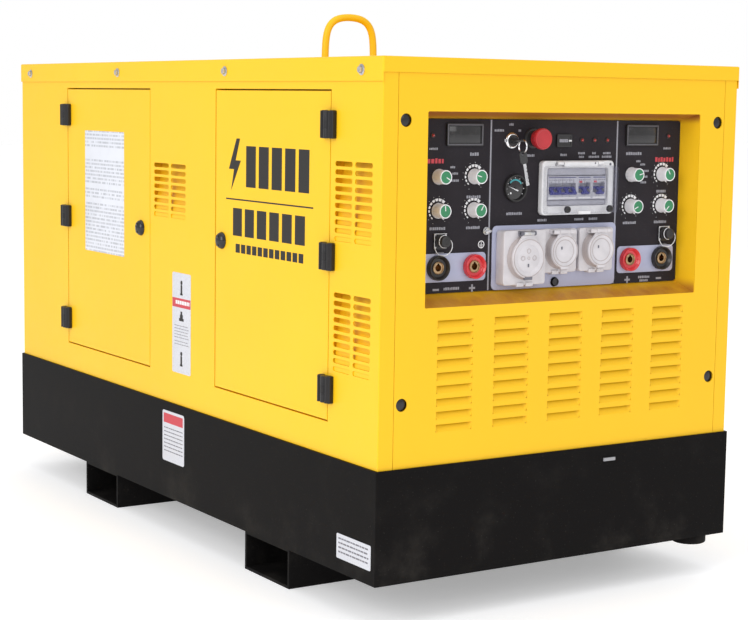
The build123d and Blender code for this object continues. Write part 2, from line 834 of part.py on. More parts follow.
def make_knob(y, z):
    """Ribbed knob on its shaft, with a separate cap disc let into its front."""
    base_x = panel_x + knob_lift
    front_x = base_x + knob_length
    skirt = rod_x(base_x, base_x + 3, y, z, knob_radius)
    body = cone_x(base_x + 3, front_x, y, z, knob_radius - 0.6, knob_cap_radius + 0.5)
    shaft = rod_x(panel_x - panel_thick - 8, base_x + 1, y, z, knob_shaft_radius)
    knob = skirt + body + shaft
    knob -= rod_x(front_x - knob_cap, front_x + 1, y, z, knob_cap_radius - 0.5)
    flutes = []
    for index in range(12):
        turn = math.radians(30 * index)
        flutes.append(rod_x(
            base_x + 3, front_x - 4, y + (knob_radius + 0.6) * math.cos(turn),
            z + (knob_radius + 0.6) * math.sin(turn), 1.6,
        ))
    cap = rod_x(front_x - knob_cap, front_x + 0.4, y, z, knob_cap_radius - 0.5)
    return group(knob - flutes, cap)


def make_weld_sockets():
    """Insulated bodies of the four weld output sockets, each with a dished front."""
    bodies = []
    seat = panel_x + plate_thick
    front = seat + weld_socket_proud
    for y in weld_socket_ys:
        collar = rod_x(seat, front, y, weld_socket_z, weld_socket_radius)
        collar = fillet(collar.edges().sort_by(Axis.X)[-1], 2)
        collar -= cone_x(front - 7, front + 0.01, y, weld_socket_z, weld_contact_radius, 17)
        collar -= rod_x(seat - 1, front + 1, y, weld_socket_z, weld_contact_radius)
        bodies.append(collar)
    return group(*bodies)


def make_weld_contacts():
    """Brass contacts with a keyed bore, one in each weld socket."""
    contacts = []
    front = panel_x + plate_thick + weld_socket_proud - 7
    for y in weld_socket_ys:
        contact = rod_x(front - 38, front, y, weld_socket_z, weld_contact_radius)
        contact -= rod_x(front - weld_bore_depth, front + 1, y, weld_socket_z, weld_bore_radius)
        contact -= block(
            front - weld_bore_depth, front + 1, y - weld_key_width / 2, y + weld_key_width / 2,
            weld_socket_z, weld_socket_z + weld_bore_radius + 2,
        )
        contacts.append(contact)
    return group(*contacts)


def make_switch_bodies():
    """Fixed bodies: key barrel, stop switch and the eight rotary switch bodies behind the panel."""
    back = panel_x - panel_thick
    barrel = rod_x(panel_x, panel_x + 6, key_y, key_z, key_barrel_radius)
    barrel += rod_x(back - 24, panel_x, key_y, key_z, key_plug_radius + 1)
    barrel += rod_x(back - 24, back, key_y, key_z, key_barrel_radius + 3)
    barrel -= rod_x(back - 18, panel_x + 7, key_y, key_z, key_plug_radius - 1 + running_gap)
    stop = rod_x(panel_x, panel_x + stop_collar, stop_y, stop_z, stop_collar_radius)
    stop += rod_x(back, panel_x, stop_y, stop_z, stop_stem_radius + 1)
    stop += block(back - 40, back, stop_y - 16, stop_y + 16, stop_z - 16, stop_z + 16)
    stop -= rod_x(back - 30, panel_x + stop_collar + 1, stop_y, stop_z, stop_stem_radius - 2 + running_gap)
    pieces = [barrel, stop]
    for y in knob_ys:
        for z in knob_zs:
            pot = rod_x(back - 20, back, y, z, 12)
            pieces.append(pot - rod_x(back - 9, back + 1, y, z, knob_shaft_radius + running_gap))
    return group(*pieces)


def make_ignition_key():
    """Key plug with the key's bow standing out of it."""
    plug = rod_x(panel_x - panel_thick - 15, panel_x + 6, key_y, key_z, key_plug_radius - 1)
    blade = block(panel_x + 5, panel_x + 14, key_y - 4, key_y + 4, key_z - 1.2, key_z + 1.2)
    bow = rod_z(panel_x + 24, key_y, key_z - 1.2, key_z + 1.2, 12)
    bow -= rod_z(panel_x + 29, key_y, key_z - 2, key_z + 2, 3)
    return plug + blade + bow


def make_emergency_button():
    """Red mushroom head on its stem."""
    seat = panel_x + stop_collar
    stem = rod_x(panel_x - 25, seat + 14, stop_y, stop_z, stop_stem_radius - 2)
    neck = cone_x(seat + stop_travel + 0.6, seat + 18, stop_y, stop_z, stop_collar_radius - 2, stop_radius - 2)
    head = rod_x(seat + 18, seat + 27, stop_y, stop_z, stop_radius)
    head = fillet(head.edges().sort_by(Axis.X)[-1], 3)
    return stem + neck + head


def make_remote_sockets():
    """Square flanges with round screw caps, and a thin strap from each cap to its flange."""
    pieces = []
    half = remote_flange / 2
    for y in remote_ys:
        flange = rounded_plate(panel_x, panel_x + 4, y - half, y + half, remote_z - half, remote_z + half, 3)
        cap = rod_x(panel_x + 4, panel_x + 4 + remote_cap, y, remote_z, remote_cap_radius)
        pieces.append(flange + chamfer(cap.edges().sort_by(Axis.X)[-1], 1.5))
    return group(*pieces)


# ---------------------------------------------------------------- breaker box
def breaker_spans():
    """Y range of each breaker, left to right."""
    spans = []
    y = breaker_y - 4 * module
    for poles in breaker_poles:
        spans.append((y, y + poles * module))
        y += poles * module
    return spans


def make_breaker_box():
    """Frame round the breakers, with two lugs and a pin that carry the window, and two latches."""
    half = breaker_box_width / 2
    x1 = panel_x + breaker_frame
    frame = rounded_plate(
        panel_x, x1, breaker_y - half, breaker_y + half, breaker_box_z0, breaker_box_z1, 5,
    )
    frame -= block(
        panel_x - 1, x1 + 1, breaker_y - 4 * module - 3, breaker_y + 4 * module + 3,
        breaker_z - 34, breaker_z + 38,
    )
    lug_x = window_pivot_x
    for side in (-1, 1):
        y0, y1 = sorted((breaker_y + side * 42, breaker_y + side * 56))
        lug = rod_y(lug_x, y0, y1, window_hinge_z, 4)
        lug += block(panel_x + 2, lug_x, y0, y1, window_hinge_z - 4, window_hinge_z + 4)
        frame += lug
    pin = rod_y(lug_x, breaker_y - 44, breaker_y + 44, window_hinge_z, window_pin_radius)
    return frame + pin


def make_breaker_window():
    """Clear cover over the breakers, hollow behind, with one long knuckle and a finger tab."""
    x0 = panel_x + breaker_frame + 0.5
    x1 = x0 + window_depth
    half = breaker_box_width / 2 - 2
    z0 = breaker_box_z0 + 2
    z1 = window_hinge_z - 4.6
    cover = rounded_plate(x0, x1, breaker_y - half, breaker_y + half, z0, z1, 4)
    cover -= block(
        x0 - 1, x1 - window_wall, breaker_y - half + 2 * window_wall, breaker_y + half - 2 * window_wall,
        z0 + 2 * window_wall, z1 - window_wall,
    )
    tab = block(x1 - 0.5, x1 + 5, breaker_y - 14, breaker_y + 14, z0, z0 + 5)
    knuckle = rod_y(window_pivot_x, breaker_y - 41, breaker_y + 41, window_hinge_z, 3.6)
    web = block(
        window_pivot_x - 1.5, window_pivot_x + 2, breaker_y - 41, breaker_y + 41, z1 - 1, window_hinge_z,
    )
    bore = rod_y(window_pivot_x, breaker_y - 42, breaker_y + 42, window_hinge_z, window_pin_radius + running_gap)
    return cover + tab + knuckle + web - bore


def make_breakers():
    """Three rail-mounted breakers, each with a pocket and trunnion holes for its lever."""
    pieces = []
    for y0, y1 in breaker_spans():
        low = y0 + 0.15
        high = y1 - 0.15
        rear = block(panel_x - 55, panel_x - panel_thick, low, high, breaker_z - 42, breaker_z + 42)
        nose = block(
            panel_x - 20, breaker_nose_x, low, high, breaker_z - breaker_nose / 2, breaker_z + breaker_nose / 2,
        )
        body = rear + nose
        body -= block(
            lever_pivot_x - 7, breaker_nose_x + 1, low + 3, high - 3, breaker_z - 9.5, breaker_z + 9.5,
        )
        body -= rod_y(lever_pivot_x, low + 1, high - 1, breaker_z, 1.5 + running_gap)
        pieces.append(body)
    return group(*pieces)


def make_breaker_lever(y0, y1):
    """Ganged toggle: a hub on trunnions with an arm for each pole and a tie bar across them."""
    low = y0 + 3.5
    high = y1 - 3.5
    lever = rod_y(0, low, high, 0, lever_hub_radius)
    lever += rod_y(0, y0 + 1.5, y1 - 1.5, 0, 1.5)
    poles = round((y1 - y0) / module)
    for index in range(poles):
        middle = y0 + (index + 0.5) * module
        lever += block(0, lever_reach, middle - 4, middle + 4, -2.5, 2.5)
    lever += block(lever_reach - 5, lever_reach, low, high, -2.5, 2.5)
    return Pos(lever_pivot_x, 0, breaker_z) * Rot(0, -lever_angle, 0) * lever


# ---------------------------------------------------------------- power outlets
def outlet_seat():
    """X of the face that the outlets stand on."""
    return panel_x + plate_thick


def make_outlet_bodies():
    """Outlet housings: plate, round collar with a well and contact holes, hinge lugs with a pin, latch lugs."""
    bodies = []
    seat = outlet_seat()
    for y, z, width, height, proud, cover_radius in outlets:
        top_x = seat + proud
        body = rounded_plate(
            seat, seat + outlet_plate, y - width / 2, y + width / 2, z - height / 2, z + height / 2, 5,
        )
        body = fillet(body.faces().sort_by(Axis.X)[-1].edges(), 2)
        body += cone_x(seat + outlet_plate - 1, top_x, y, z, cover_radius + 2, cover_radius - 2)
        well_floor = top_x - outlet_well_depth
        body -= rod_x(well_floor, top_x + 1, y, z, outlet_well_radius)
        for turn in range(0, 360, 120):
            pin_y = y + 12 * math.cos(math.radians(turn + 90))
            pin_z = z + 12 * math.sin(math.radians(turn + 90))
            body -= rod_x(well_floor - 4, well_floor + 1, pin_y, pin_z, 2.8)
        hinge_x = top_x + cover_thick / 2
        hinge_z = z + height / 2 - 5
        gap = 0.5
        for side in (-1, 1):
            y0, y1 = sorted((
                y + side * (cover_knuckle_width / 2 + gap), y + side * (cover_knuckle_width / 2 + 12),
            ))
            body += rod_y(hinge_x, y0, y1, hinge_z, cover_knuckle_radius)
            body += block(
                seat + 1, hinge_x, y0, y1, hinge_z - cover_knuckle_radius, hinge_z + cover_knuckle_radius,
            )
        body += rod_y(
            hinge_x, y - cover_knuckle_width / 2 - 2, y + cover_knuckle_width / 2 + 2, hinge_z, cover_pin_radius,
        )
        for side in (-1, 1):
            latch_y = y + side * 11
            body += block(
                seat + 1, seat + outlet_plate + 5, latch_y - 8, latch_y + 8, z - height / 2 - 3, z - height / 2 + 5,
            )
        bodies.append(body)
    return group(*bodies)


def make_outlet_cover(y, z, width, height, proud, cover_radius):
    """Hinged flap: a disc with a raised ring, a tab up to its knuckle and a thumb lip."""
    x0 = outlet_seat() + proud + 0.4
    x1 = outlet_seat() + proud + cover_thick
    hinge_x = outlet_seat() + proud + cover_thick / 2
    hinge_z = z + height / 2 - 5
    flap = rod_x(x0, x1, y, z, cover_radius)
    ring = rod_x(x1 - 1, x1 + 2.5, y, z, cover_radius - 1) - rod_x(x1, x1 + 3, y, z, cover_radius - 7)
    half = cover_knuckle_width / 2
    tab = block(x0, x1, y - half, y + half, z, hinge_z)
    knuckle = rod_y(hinge_x, y - half, y + half, hinge_z, cover_knuckle_radius)
    lip = block(x0, x1 + 3, y - 9, y + 9, z - cover_radius - 3, z - cover_radius + 5)
    bore = rod_y(hinge_x, y - half - 1, y + half + 1, hinge_z, cover_pin_radius + running_gap)
    return flap + ring + tab + knuckle + lip - bore


# ---------------------------------------------------------------- engine and generator
def make_engine_block():
    """Hollow engine casting with oil pan, valve cover, flywheel housing, feet and bearing bores."""
    x0 = engine_x0
    x1 = engine_x1
    half = engine_half_width
    casting = block(x0, x1, -half, half, engine_z0, engine_z1)
    casting = fillet(casting.edges().filter_by(Axis.X), 18)
    casting += block(x0 + 60, x1 - 60, -120, 120, engine_z0 - 90, engine_z0)
    casting += block(x0 + 30, x1 - 30, -88, 88, engine_z1, engine_z1 + 60)
    casting += rod_x(x1, housing_x1, 0, shaft_z, housing_radius)
    for x in mount_xs[:2]:
        for y in (-bed_rail_y, bed_rail_y):
            casting += block(x - 35, x + 35, y - 32, y + 32, feet_z, engine_z0 + 20)
    hollow = block(
        x0 + engine_end_wall, x1 - engine_end_wall, -half + engine_wall, half - engine_wall,
        engine_z0 + engine_wall, engine_z1 - engine_wall,
    )
    casting -= hollow
    casting -= rod_x(x0 - 1, housing_x1 + 1, 0, shaft_z, crank_radius + running_gap)
    casting -= rod_x(x1 + engine_wall, housing_x1 + 1, 0, shaft_z, housing_radius - engine_wall)
    casting -= rod_x(x0 - 1, x0 + engine_end_wall + 1, 0, fan_z, fan_spindle_radius + running_gap)
    return casting


def make_generator_stator():
    """Generator frame with end bells, feet and a terminal box on top."""
    x0 = housing_x1
    x1 = stator_x1
    frame = rod_x(x0, x1, 0, shaft_z, housing_radius)
    frame += block(x0 + 90, x1 - 80, -130, 130, shaft_z, terminal_box_top)
    for x in mount_xs[2:]:
        for y in (-bed_rail_y, bed_rail_y):
            frame += block(x - 35, x + 35, y - 32, y + 32, feet_z, shaft_z - 150)
    frame -= rod_x(x0 - 1, x0 + engine_wall + 1, 0, shaft_z, rotor_shaft_radius + 40)
    frame -= rod_x(x0 + engine_wall, x1 - 24, 0, shaft_z, stator_bore + rotor_gap)
    frame -= rod_x(x1 - 25, x1 + 1, 0, shaft_z, rotor_shaft_radius + running_gap)
    frame -= block(x0 + 98, x1 - 88, -122, 122, shaft_z + stator_bore + 40, terminal_box_top - 8)
    return frame


def pulley(x, y, z, radius):
    """A flat pulley with two guide flanges."""
    half = pulley_width / 2
    wheel = rod_x(x - half, x + half, y, z, radius)
    for x0, x1 in ((x - half, x - half + 2), (x + half - 2, x + half)):
        wheel += rod_x(x0, x1, y, z, radius + belt_thick + 2)
    return wheel


def make_drive_line():
    """Crank nose pulley, crankshaft, flywheel, rotor and its shaft, turning as one."""
    line = pulley(pulley_x, 0, shaft_z, crank_pulley_radius)
    line += rod_x(pulley_x, -20, 0, shaft_z, crank_radius)
    line += rod_x(-25, 15, 0, shaft_z, flywheel_radius)
    line += rod_x(10, stator_x1 - 4, 0, shaft_z, rotor_shaft_radius)
    line += rod_x(115, stator_x1 - 60, 0, shaft_z, stator_bore)
    return line


def make_cooling_fan():
    """Fan with pitched blades, its hub, spindle and pulley."""
    fan = rod_x(fan_x - 25, fan_x + 25, 0, fan_z, 55)
    fan += rod_x(fan_x, engine_x0 + engine_end_wall - 4, 0, fan_z, fan_spindle_radius)
    fan += pulley(pulley_x, 0, fan_z, fan_pulley_radius)
    blade_length = fan_radius - 45
    for index in range(fan_blades):
        blade = Pos(0, 0, 45 + blade_length / 2) * Rot(0, 0, 32) * Box(5, 95, blade_length)
        turned = Rot(360 / fan_blades * index, 0, 0) * blade
        fan += Pos(fan_x, 0, fan_z) * turned
    return fan


def make_fan_belt():
    """Flat belt round both pulleys, a small clearance above their faces."""
    reach = fan_z - shaft_z
    slope = math.asin((crank_pulley_radius - fan_pulley_radius) / reach)

    def loop(grow):
        low = crank_pulley_radius + grow
        high = fan_pulley_radius + grow
        c = math.cos(slope)
        s = math.sin(slope)
        sides = Polyline(
            (low * c, low * s), (high * c, reach + high * s),
            (-high * c, reach + high * s), (-low * c, low * s), close=True,
        )
        return Circle(low) + Pos(0, reach) * Circle(high) + make_face(sides)

    section = loop(belt_gap + belt_thick) - loop(belt_gap)
    start = Plane.YZ.offset(pulley_x - belt_width / 2) * Pos(0, shaft_z)
    return extrude(start * section, belt_width)


def make_radiator():
    """Core between two side tanks, with legs down to the bed rails and a filler cap."""
    x0 = radiator_x - radiator_depth / 2
    x1 = radiator_x + radiator_depth / 2
    half = radiator_half_width
    z0 = radiator_z0
    z1 = radiator_z1
    core = block(x0 + 9, x1 - 9, -half + 30, half - 30, z0 + 20, z1 - 20)
    frame = block(x0, x1, -half, half, z0, z1)
    frame -= block(x0 - 1, x1 + 1, -half + 30, half - 30, z0 + 20, z1 - 20)
    body = frame + core
    for y in (-bed_rail_y, bed_rail_y):
        body += block(x0, x1, y - 20, y + 20, bed_top, z0)
    return body + rod_z((x0 + x1) / 2, -200, z1, z1 + 18, 22)


def make_muffler():
    """Silencer drum on two saddles above the engine, with a tail pipe out of the radiator end."""
    drum = rod_x(-540, -200, tail_y, tail_z, 62)
    drum = fillet(drum.edges(), 12)
    pipe = rod_x(-end_x - 3, -530, tail_y, tail_z, tail_radius)
    pipe -= rod_x(-end_x - 4, -560, tail_y, tail_z, tail_radius - 2)
    body = drum + pipe
    for x in (-480, -260):
        body += block(x - 12, x + 12, tail_y - 14, tail_y + 40, engine_z1, tail_z - 40)
    return body


def make_air_cleaner():
    """Canister on two feet above the generator's terminal box."""
    can = rod_x(170, 400, -50, 826, 64)
    can = fillet(can.edges(), 8)
    for x in (220, 350):
        can += block(x - 12, x + 12, -90, -10, terminal_box_top, 790)
    return can


def make_battery():
    """Starter battery on the tray floor, with two terminal posts."""
    case = block(200, 460, -352, -184, floor_z, floor_z + 205)
    case = fillet(case.edges().filter_by(Axis.Z), 6)
    case += block(206, 454, -346, -190, floor_z + 205, floor_z + 220)
    for x in (235, 425):
        case += rod_z(x, -215, floor_z + 220, floor_z + 236, 9)
    return case


def make_engine_mounts():
    """Rubber mounts between the bed rails and the feet."""
    mounts = []
    for x in mount_xs:
        for y in (-bed_rail_y, bed_rail_y):
            mounts.append(rod_z(x, y, bed_top, feet_z, mount_radius))
    return group(*mounts)


# ---------------------------------------------------------------- build every node
nodes["base_tray"] = make_base_tray()
nodes["fork_pockets"] = make_fork_pockets()
nodes["engine_rails"] = make_engine_rails()
nodes["fuel_tank"] = make_fuel_tank()
nodes["inner_frame"] = make_inner_frame()
nodes["lifting_eye"] = make_lifting_eye()
nodes["roof_cover"] = make_roof_cover()
nodes["fasteners"] = make_fasteners()
nodes["side_panel_left"] = make_side_panel()
nodes["side_panel_right"] = mirror(nodes["side_panel_left"], about=Plane.XZ)
nodes["vent_baffles"] = make_vent_baffles()
nodes["hinge_brackets"] = make_hinge_brackets()
for number, layout in enumerate(door_layout):
    door = make_door(*layout)
    lock = make_door_lock(*layout)
    nodes[f"door_left_{number + 1}"] = door
    nodes[f"door_lock_left_{number + 1}"] = lock
    nodes[f"door_right_{number + 1}"] = group(mirror(door, about=Plane.XZ))
    nodes[f"door_lock_right_{number + 1}"] = mirror(lock, about=Plane.XZ)
nodes["control_end_panel"] = make_control_end_panel()
nodes["control_recess"] = make_control_recess()
nodes["radiator_end_panel"] = make_radiator_end_panel()
nodes["control_panel"] = make_control_panel()
nodes["panel_plates"] = make_panel_plates()
nodes["panel_instruments"] = make_panel_instruments()
for place, y in enumerate(knob_ys):
    unit = "a" if y < 0 else "b"
    for row, z in enumerate(knob_zs):
        nodes[f"knob_{unit}{place % 2 + 1}_{'upper' if row == 0 else 'lower'}"] = make_knob(y, z)
nodes["weld_sockets"] = make_weld_sockets()
nodes["weld_contacts"] = make_weld_contacts()
nodes["switch_bodies"] = make_switch_bodies()
nodes["ignition_key"] = make_ignition_key()
nodes["emergency_button"] = make_emergency_button()
nodes["remote_sockets"] = make_remote_sockets()
nodes["breaker_box"] = make_breaker_box()
nodes["breaker_window"] = make_breaker_window()
nodes["breakers"] = make_breakers()
for number, span in enumerate(breaker_spans()):
    nodes[f"breaker_lever_{number + 1}"] = make_breaker_lever(*span)
nodes["outlet_bodies"] = make_outlet_bodies()
for number, outlet in enumerate(outlets):
    nodes[f"outlet_cover_{number + 1}"] = make_outlet_cover(*outlet)
nodes["engine_block"] = make_engine_block()
nodes["generator_stator"] = make_generator_stator()
nodes["drive_line"] = make_drive_line()
nodes["cooling_fan"] = make_cooling_fan()
nodes["fan_belt"] = make_fan_belt()
nodes["radiator"] = make_radiator()
nodes["exhaust_muffler"] = make_muffler()
nodes["air_cleaner"] = make_air_cleaner()
nodes["battery"] = make_battery()
nodes["engine_mounts"] = make_engine_mounts()

os.makedirs("parts", exist_ok=True)
for name, shape in nodes.items():
    export_step(shape, f"parts/{name}.step")
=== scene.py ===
"""Looks of an enclosed engine driven welder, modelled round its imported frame.

Laid out as an add-on: each operator models one group of pieces or paints one family of
finishes, and the panel lists them in the order in which they are meant to run.
"""

import json
import math
import random

import bmesh
import bpy
from mathutils import Matrix, Vector


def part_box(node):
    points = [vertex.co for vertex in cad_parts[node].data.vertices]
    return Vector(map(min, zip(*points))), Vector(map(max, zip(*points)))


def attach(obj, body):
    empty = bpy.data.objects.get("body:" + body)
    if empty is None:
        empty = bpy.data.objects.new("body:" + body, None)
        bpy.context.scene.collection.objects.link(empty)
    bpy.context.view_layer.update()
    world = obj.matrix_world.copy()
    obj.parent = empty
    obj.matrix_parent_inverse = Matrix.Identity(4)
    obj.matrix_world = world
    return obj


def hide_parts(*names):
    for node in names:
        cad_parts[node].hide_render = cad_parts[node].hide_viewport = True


bl_info = {
    "name": "Engine driven welder",
    "version": (1, 0, 0),
    "blender": (4, 5, 0),
    "location": "View3D > Sidebar > Welder",
    "description": "Models the pieces and finishes of an enclosed engine driven welder",
    "category": "Object",
}

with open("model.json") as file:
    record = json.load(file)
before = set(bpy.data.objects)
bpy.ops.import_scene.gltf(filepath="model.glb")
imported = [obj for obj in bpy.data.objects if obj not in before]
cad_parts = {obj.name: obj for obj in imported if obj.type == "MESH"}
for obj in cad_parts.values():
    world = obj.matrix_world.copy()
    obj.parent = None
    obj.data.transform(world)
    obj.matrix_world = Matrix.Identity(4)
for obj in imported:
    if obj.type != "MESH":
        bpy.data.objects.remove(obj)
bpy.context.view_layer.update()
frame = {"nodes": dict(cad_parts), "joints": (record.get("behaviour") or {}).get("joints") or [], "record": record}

MM = 0.001
ROOT = "set_body"


# ---- places read from the frame
def low(node):
    """Lowest corner of a frame node, in millimetres."""
    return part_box(node)[0] / MM


def high(node):
    """Highest corner of a frame node, in millimetres."""
    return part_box(node)[1] / MM


def middle(node):
    """Middle of a frame node, in millimetres."""
    return (low(node) + high(node)) / 2


def joint_point(name):
    """The point that a joint turns about, in millimetres."""
    return next(Vector(joint["pos_m"]) / MM for joint in frame["joints"] if joint["name"] == name)


def mount_point(name):
    """The place of a mount, in millimetres."""
    return next(Vector(mount["pos_m"]) / MM for mount in frame["record"]["mounts"] if mount["name"] == name)


PANEL_X = high("control_panel").x
PLATE_X = PANEL_X + 2
FACE_Y = -low("side_panel_left").y
KNOBS = [f"knob_{unit}{place}_{row}" for unit in "ab" for place in (1, 2) for row in ("upper", "lower")]
DOORS = [f"door_{side}_{number}" for side in ("left", "right") for number in (1, 2)]


# ---- modelling by hand
def clear_selection():
    """Leaves edit mode and deselects everything."""
    if bpy.context.mode != "OBJECT":
        bpy.ops.object.mode_set(mode="OBJECT")
    bpy.ops.object.select_all(action="DESELECT")


def take(*pieces):
    """Selects pieces, the first one active."""
    clear_selection()
    for piece in pieces:
        piece.select_set(True)
    bpy.context.view_layer.objects.active = pieces[0]


def new_piece(name):
    """Names the primitive that was just added and puts its place into its mesh."""
    piece = bpy.context.active_object
    piece.name = name
    piece.data.name = name
    return settle(piece)


def settle(piece):
    """Moves a piece's place, turn and scale into its mesh."""
    take(piece)
    bpy.ops.object.transform_apply(location=True, rotation=True, scale=True)
    return piece


def block(name, start, stop, corner=0, axis="X", segments=6):
    """A cube stretched between two corners; a radius rounds its edges along one axis."""
    start, stop = Vector(start), Vector(stop)
    clear_selection()
    bpy.ops.mesh.primitive_cube_add(size=1, location=(start + stop) / 2 * MM)
    bpy.context.active_object.scale = (stop - start) * MM
    piece = new_piece(name)
    return rounded_corners(piece, corner, axis, segments) if corner else piece


TURNS = {"X": (0, math.pi / 2, 0), "Y": (-math.pi / 2, 0, 0), "Z": (0, 0, 0)}
ALONG = {"X": Vector((1, 0, 0)), "Y": Vector((0, 1, 0)), "Z": Vector((0, 0, 1))}


def rod(name, base, radius, length, axis="X", sides=48, tip_radius=None):
    """A cylinder or cone that stands on a point and grows along an axis."""
    clear_selection()
    centre = (Vector(base) + ALONG[axis] * length / 2) * MM
    tip = radius if tip_radius is None else tip_radius
    bpy.ops.mesh.primitive_cone_add(
        vertices=sides, radius1=radius * MM, radius2=tip * MM, depth=abs(length) * MM,
        location=centre, rotation=TURNS[axis],
    )
    return new_piece(name)


def ring(name, centre, radius, bar, axis="X", steps=48):
    """A torus about an axis."""
    clear_selection()
    bpy.ops.mesh.primitive_torus_add(
        major_radius=radius * MM, minor_radius=bar * MM, major_segments=steps,
        minor_segments=12, location=Vector(centre) * MM, rotation=TURNS[axis],
    )
    return new_piece(name)


def merge_doubles(threshold=1e-6):
    """Selects all of the mesh in edit mode and merges points that fall together."""
    bpy.ops.mesh.select_all(action="SELECT")
    bpy.ops.mesh.remove_doubles(threshold=threshold)


def chain(name, points, closed=False):
    """Edges through points: one vertex, extruded from each point to the next."""
    points = [Vector(point) * MM for point in points]
    clear_selection()
    bpy.ops.mesh.primitive_plane_add(size=MM, location=points[0])
    piece = new_piece(name)
    edit(piece, "VERT")
    bpy.ops.mesh.select_all(action="SELECT")
    bpy.ops.mesh.merge(type="CENTER")
    if closed:
        points.append(points[0])
    for start, stop in zip(points, points[1:]):
        bpy.ops.mesh.extrude_region_move(TRANSFORM_OT_translate={"value": stop - start})
    merge_doubles()
    return piece


def slab(name, points, thickness):
    """A flat closed outline grown by a thickness vector."""
    piece = chain(name, points, closed=True)
    bpy.ops.mesh.edge_face_add()
    bpy.ops.mesh.extrude_region_move(TRANSFORM_OT_translate={"value": Vector(thickness) * MM})
    return recalculated(piece)


def turned(name, outline, centre, axis="X", steps=48):
    """A lathe shape: an outline of (along, radius) pairs spun about an axis through the centre."""
    across = {"X": Vector((0, 0, 1)), "Y": Vector((1, 0, 0)), "Z": Vector((1, 0, 0))}[axis]
    centre = Vector(centre)
    points = [centre + ALONG[axis] * along + across * radius for along, radius in outline]
    piece = chain(name, points)
    bpy.ops.mesh.spin(
        steps=steps, angle=2 * math.pi, center=centre * MM, axis=ALONG[axis], use_auto_merge=True,
    )
    merge_doubles()
    return smoothed(recalculated(piece))


def bent_rod(name, points, radius, sides=12, rounds=2):
    """A round bar through points, its corners eased by subdivision."""
    piece = chain(name, points)
    bpy.ops.object.mode_set(mode="OBJECT")
    if rounds:
        modified(piece, "SUBSURF", levels=rounds, render_levels=rounds)
    take(piece)
    bpy.ops.object.convert(target="CURVE")
    wire = bpy.context.active_object
    wire.data.dimensions = "3D"
    wire.data.bevel_depth = radius * MM
    wire.data.bevel_resolution = max(1, sides // 4 - 1)
    wire.data.use_fill_caps = True
    take(wire)
    bpy.ops.object.convert(target="MESH")
    bar = bpy.context.active_object
    bar.name = name
    edit(bar)
    merge_doubles(1e-5)
    return smoothed(recalculated(bar))


def edit(piece, kind="FACE"):
    """Opens a piece in edit mode with nothing selected."""
    take(piece)
    bpy.ops.object.mode_set(mode="EDIT")
    bpy.ops.mesh.select_mode(type=kind)
    bpy.ops.mesh.select_all(action="DESELECT")


def pick(piece, test, kind="FACE"):
    """Opens a piece and selects the faces, edges or points that pass a test."""
    edit(piece, kind)
    mesh = bmesh.from_edit_mesh(piece.data)
    items = {"FACE": mesh.faces, "EDGE": mesh.edges, "VERT": mesh.verts}[kind]
    for item in items:
        if test(item):
            item.select_set(True)
    bmesh.update_edit_mesh(piece.data)
    return piece


def done(piece):
    """Leaves edit mode."""
    bpy.ops.object.mode_set(mode="OBJECT")
    return piece


def facing(direction):
    """A test for faces that look one way."""
    direction = Vector(direction)
    return lambda face: face.normal.dot(direction) > 0.9


def recalculated(piece):
    """Turns all faces outwards."""
    edit(piece)
    bpy.ops.mesh.select_all(action="SELECT")
    bpy.ops.mesh.normals_make_consistent(inside=False)
    return done(piece)


def inset(piece, test, thickness, depth):
    """Insets the faces that pass a test and sinks them by a depth."""
    pick(piece, test)
    bpy.ops.mesh.inset(thickness=thickness * MM, depth=0, use_boundary=True)
    bpy.ops.mesh.extrude_region_shrink_fatten(
        TRANSFORM_OT_shrink_fatten={"value": -depth * MM, "use_even_offset": True},
    )
    return done(piece)


def modified(piece, kind, **settings):
    """Adds a modifier and applies it."""
    take(piece)
    bpy.ops.object.modifier_add(type=kind)
    modifier = piece.modifiers[-1]
    for key, value in settings.items():
        setattr(modifier, key, value)
    bpy.ops.object.modifier_apply(modifier=modifier.name)
    return piece


def rounded(piece, width, segments=3, angle=30):
    """Rounds all edges that are sharper than an angle."""
    modified(
        piece, "BEVEL", width=width * MM, segments=segments, limit_method="ANGLE",
        angle_limit=math.radians(angle), miter_outer="MITER_ARC",
    )
    return smoothed(piece)


def rounded_corners(piece, radius, axis, segments):
    """Rounds only the edges that run along one axis."""
    direction = ALONG[axis]
    pick(piece, lambda edge: abs((edge.verts[0].co - edge.verts[1].co).normalized().dot(direction)) > 0.99,
         "EDGE")
    bpy.ops.mesh.bevel(offset=radius * MM, segments=segments, affect="EDGES")
    return done(piece)


def smoothed(piece, angle=40):
    """Smooth shading with sharp edges kept."""
    take(piece)
    bpy.ops.object.shade_smooth_by_angle(angle=math.radians(angle))
    return piece


def cut(piece, *cutters):
    """Takes cutters out of a piece."""
    for cutter in cutters:
        modified(piece, "BOOLEAN", operation="DIFFERENCE", object=cutter, solver="EXACT")
        bpy.data.objects.remove(cutter)
    return piece


def moved(piece, move=(0, 0, 0), turn=None, about=(0, 0, 0)):
    """Turns a piece about a point, then moves it."""
    about = Matrix.Translation(Vector(about) * MM)
    if turn is not None:
        piece.matrix_world = about @ turn.to_4x4() @ about.inverted()
    piece.matrix_world = Matrix.Translation(Vector(move) * MM) @ piece.matrix_world
    return settle(piece)


def copied(piece, name, move):
    """A copy with its own mesh, moved."""
    take(piece)
    bpy.ops.object.duplicate(linked=False)
    twin = bpy.context.active_object
    twin.name = name
    twin.data.name = name
    return moved(twin, move)


def joined(name, *pieces):
    """Several pieces as one, with their material slots kept."""
    take(*pieces)
    if len(pieces) > 1:
        bpy.ops.object.join()
    piece = bpy.context.active_object
    piece.name = name
    piece.data.name = name
    return piece


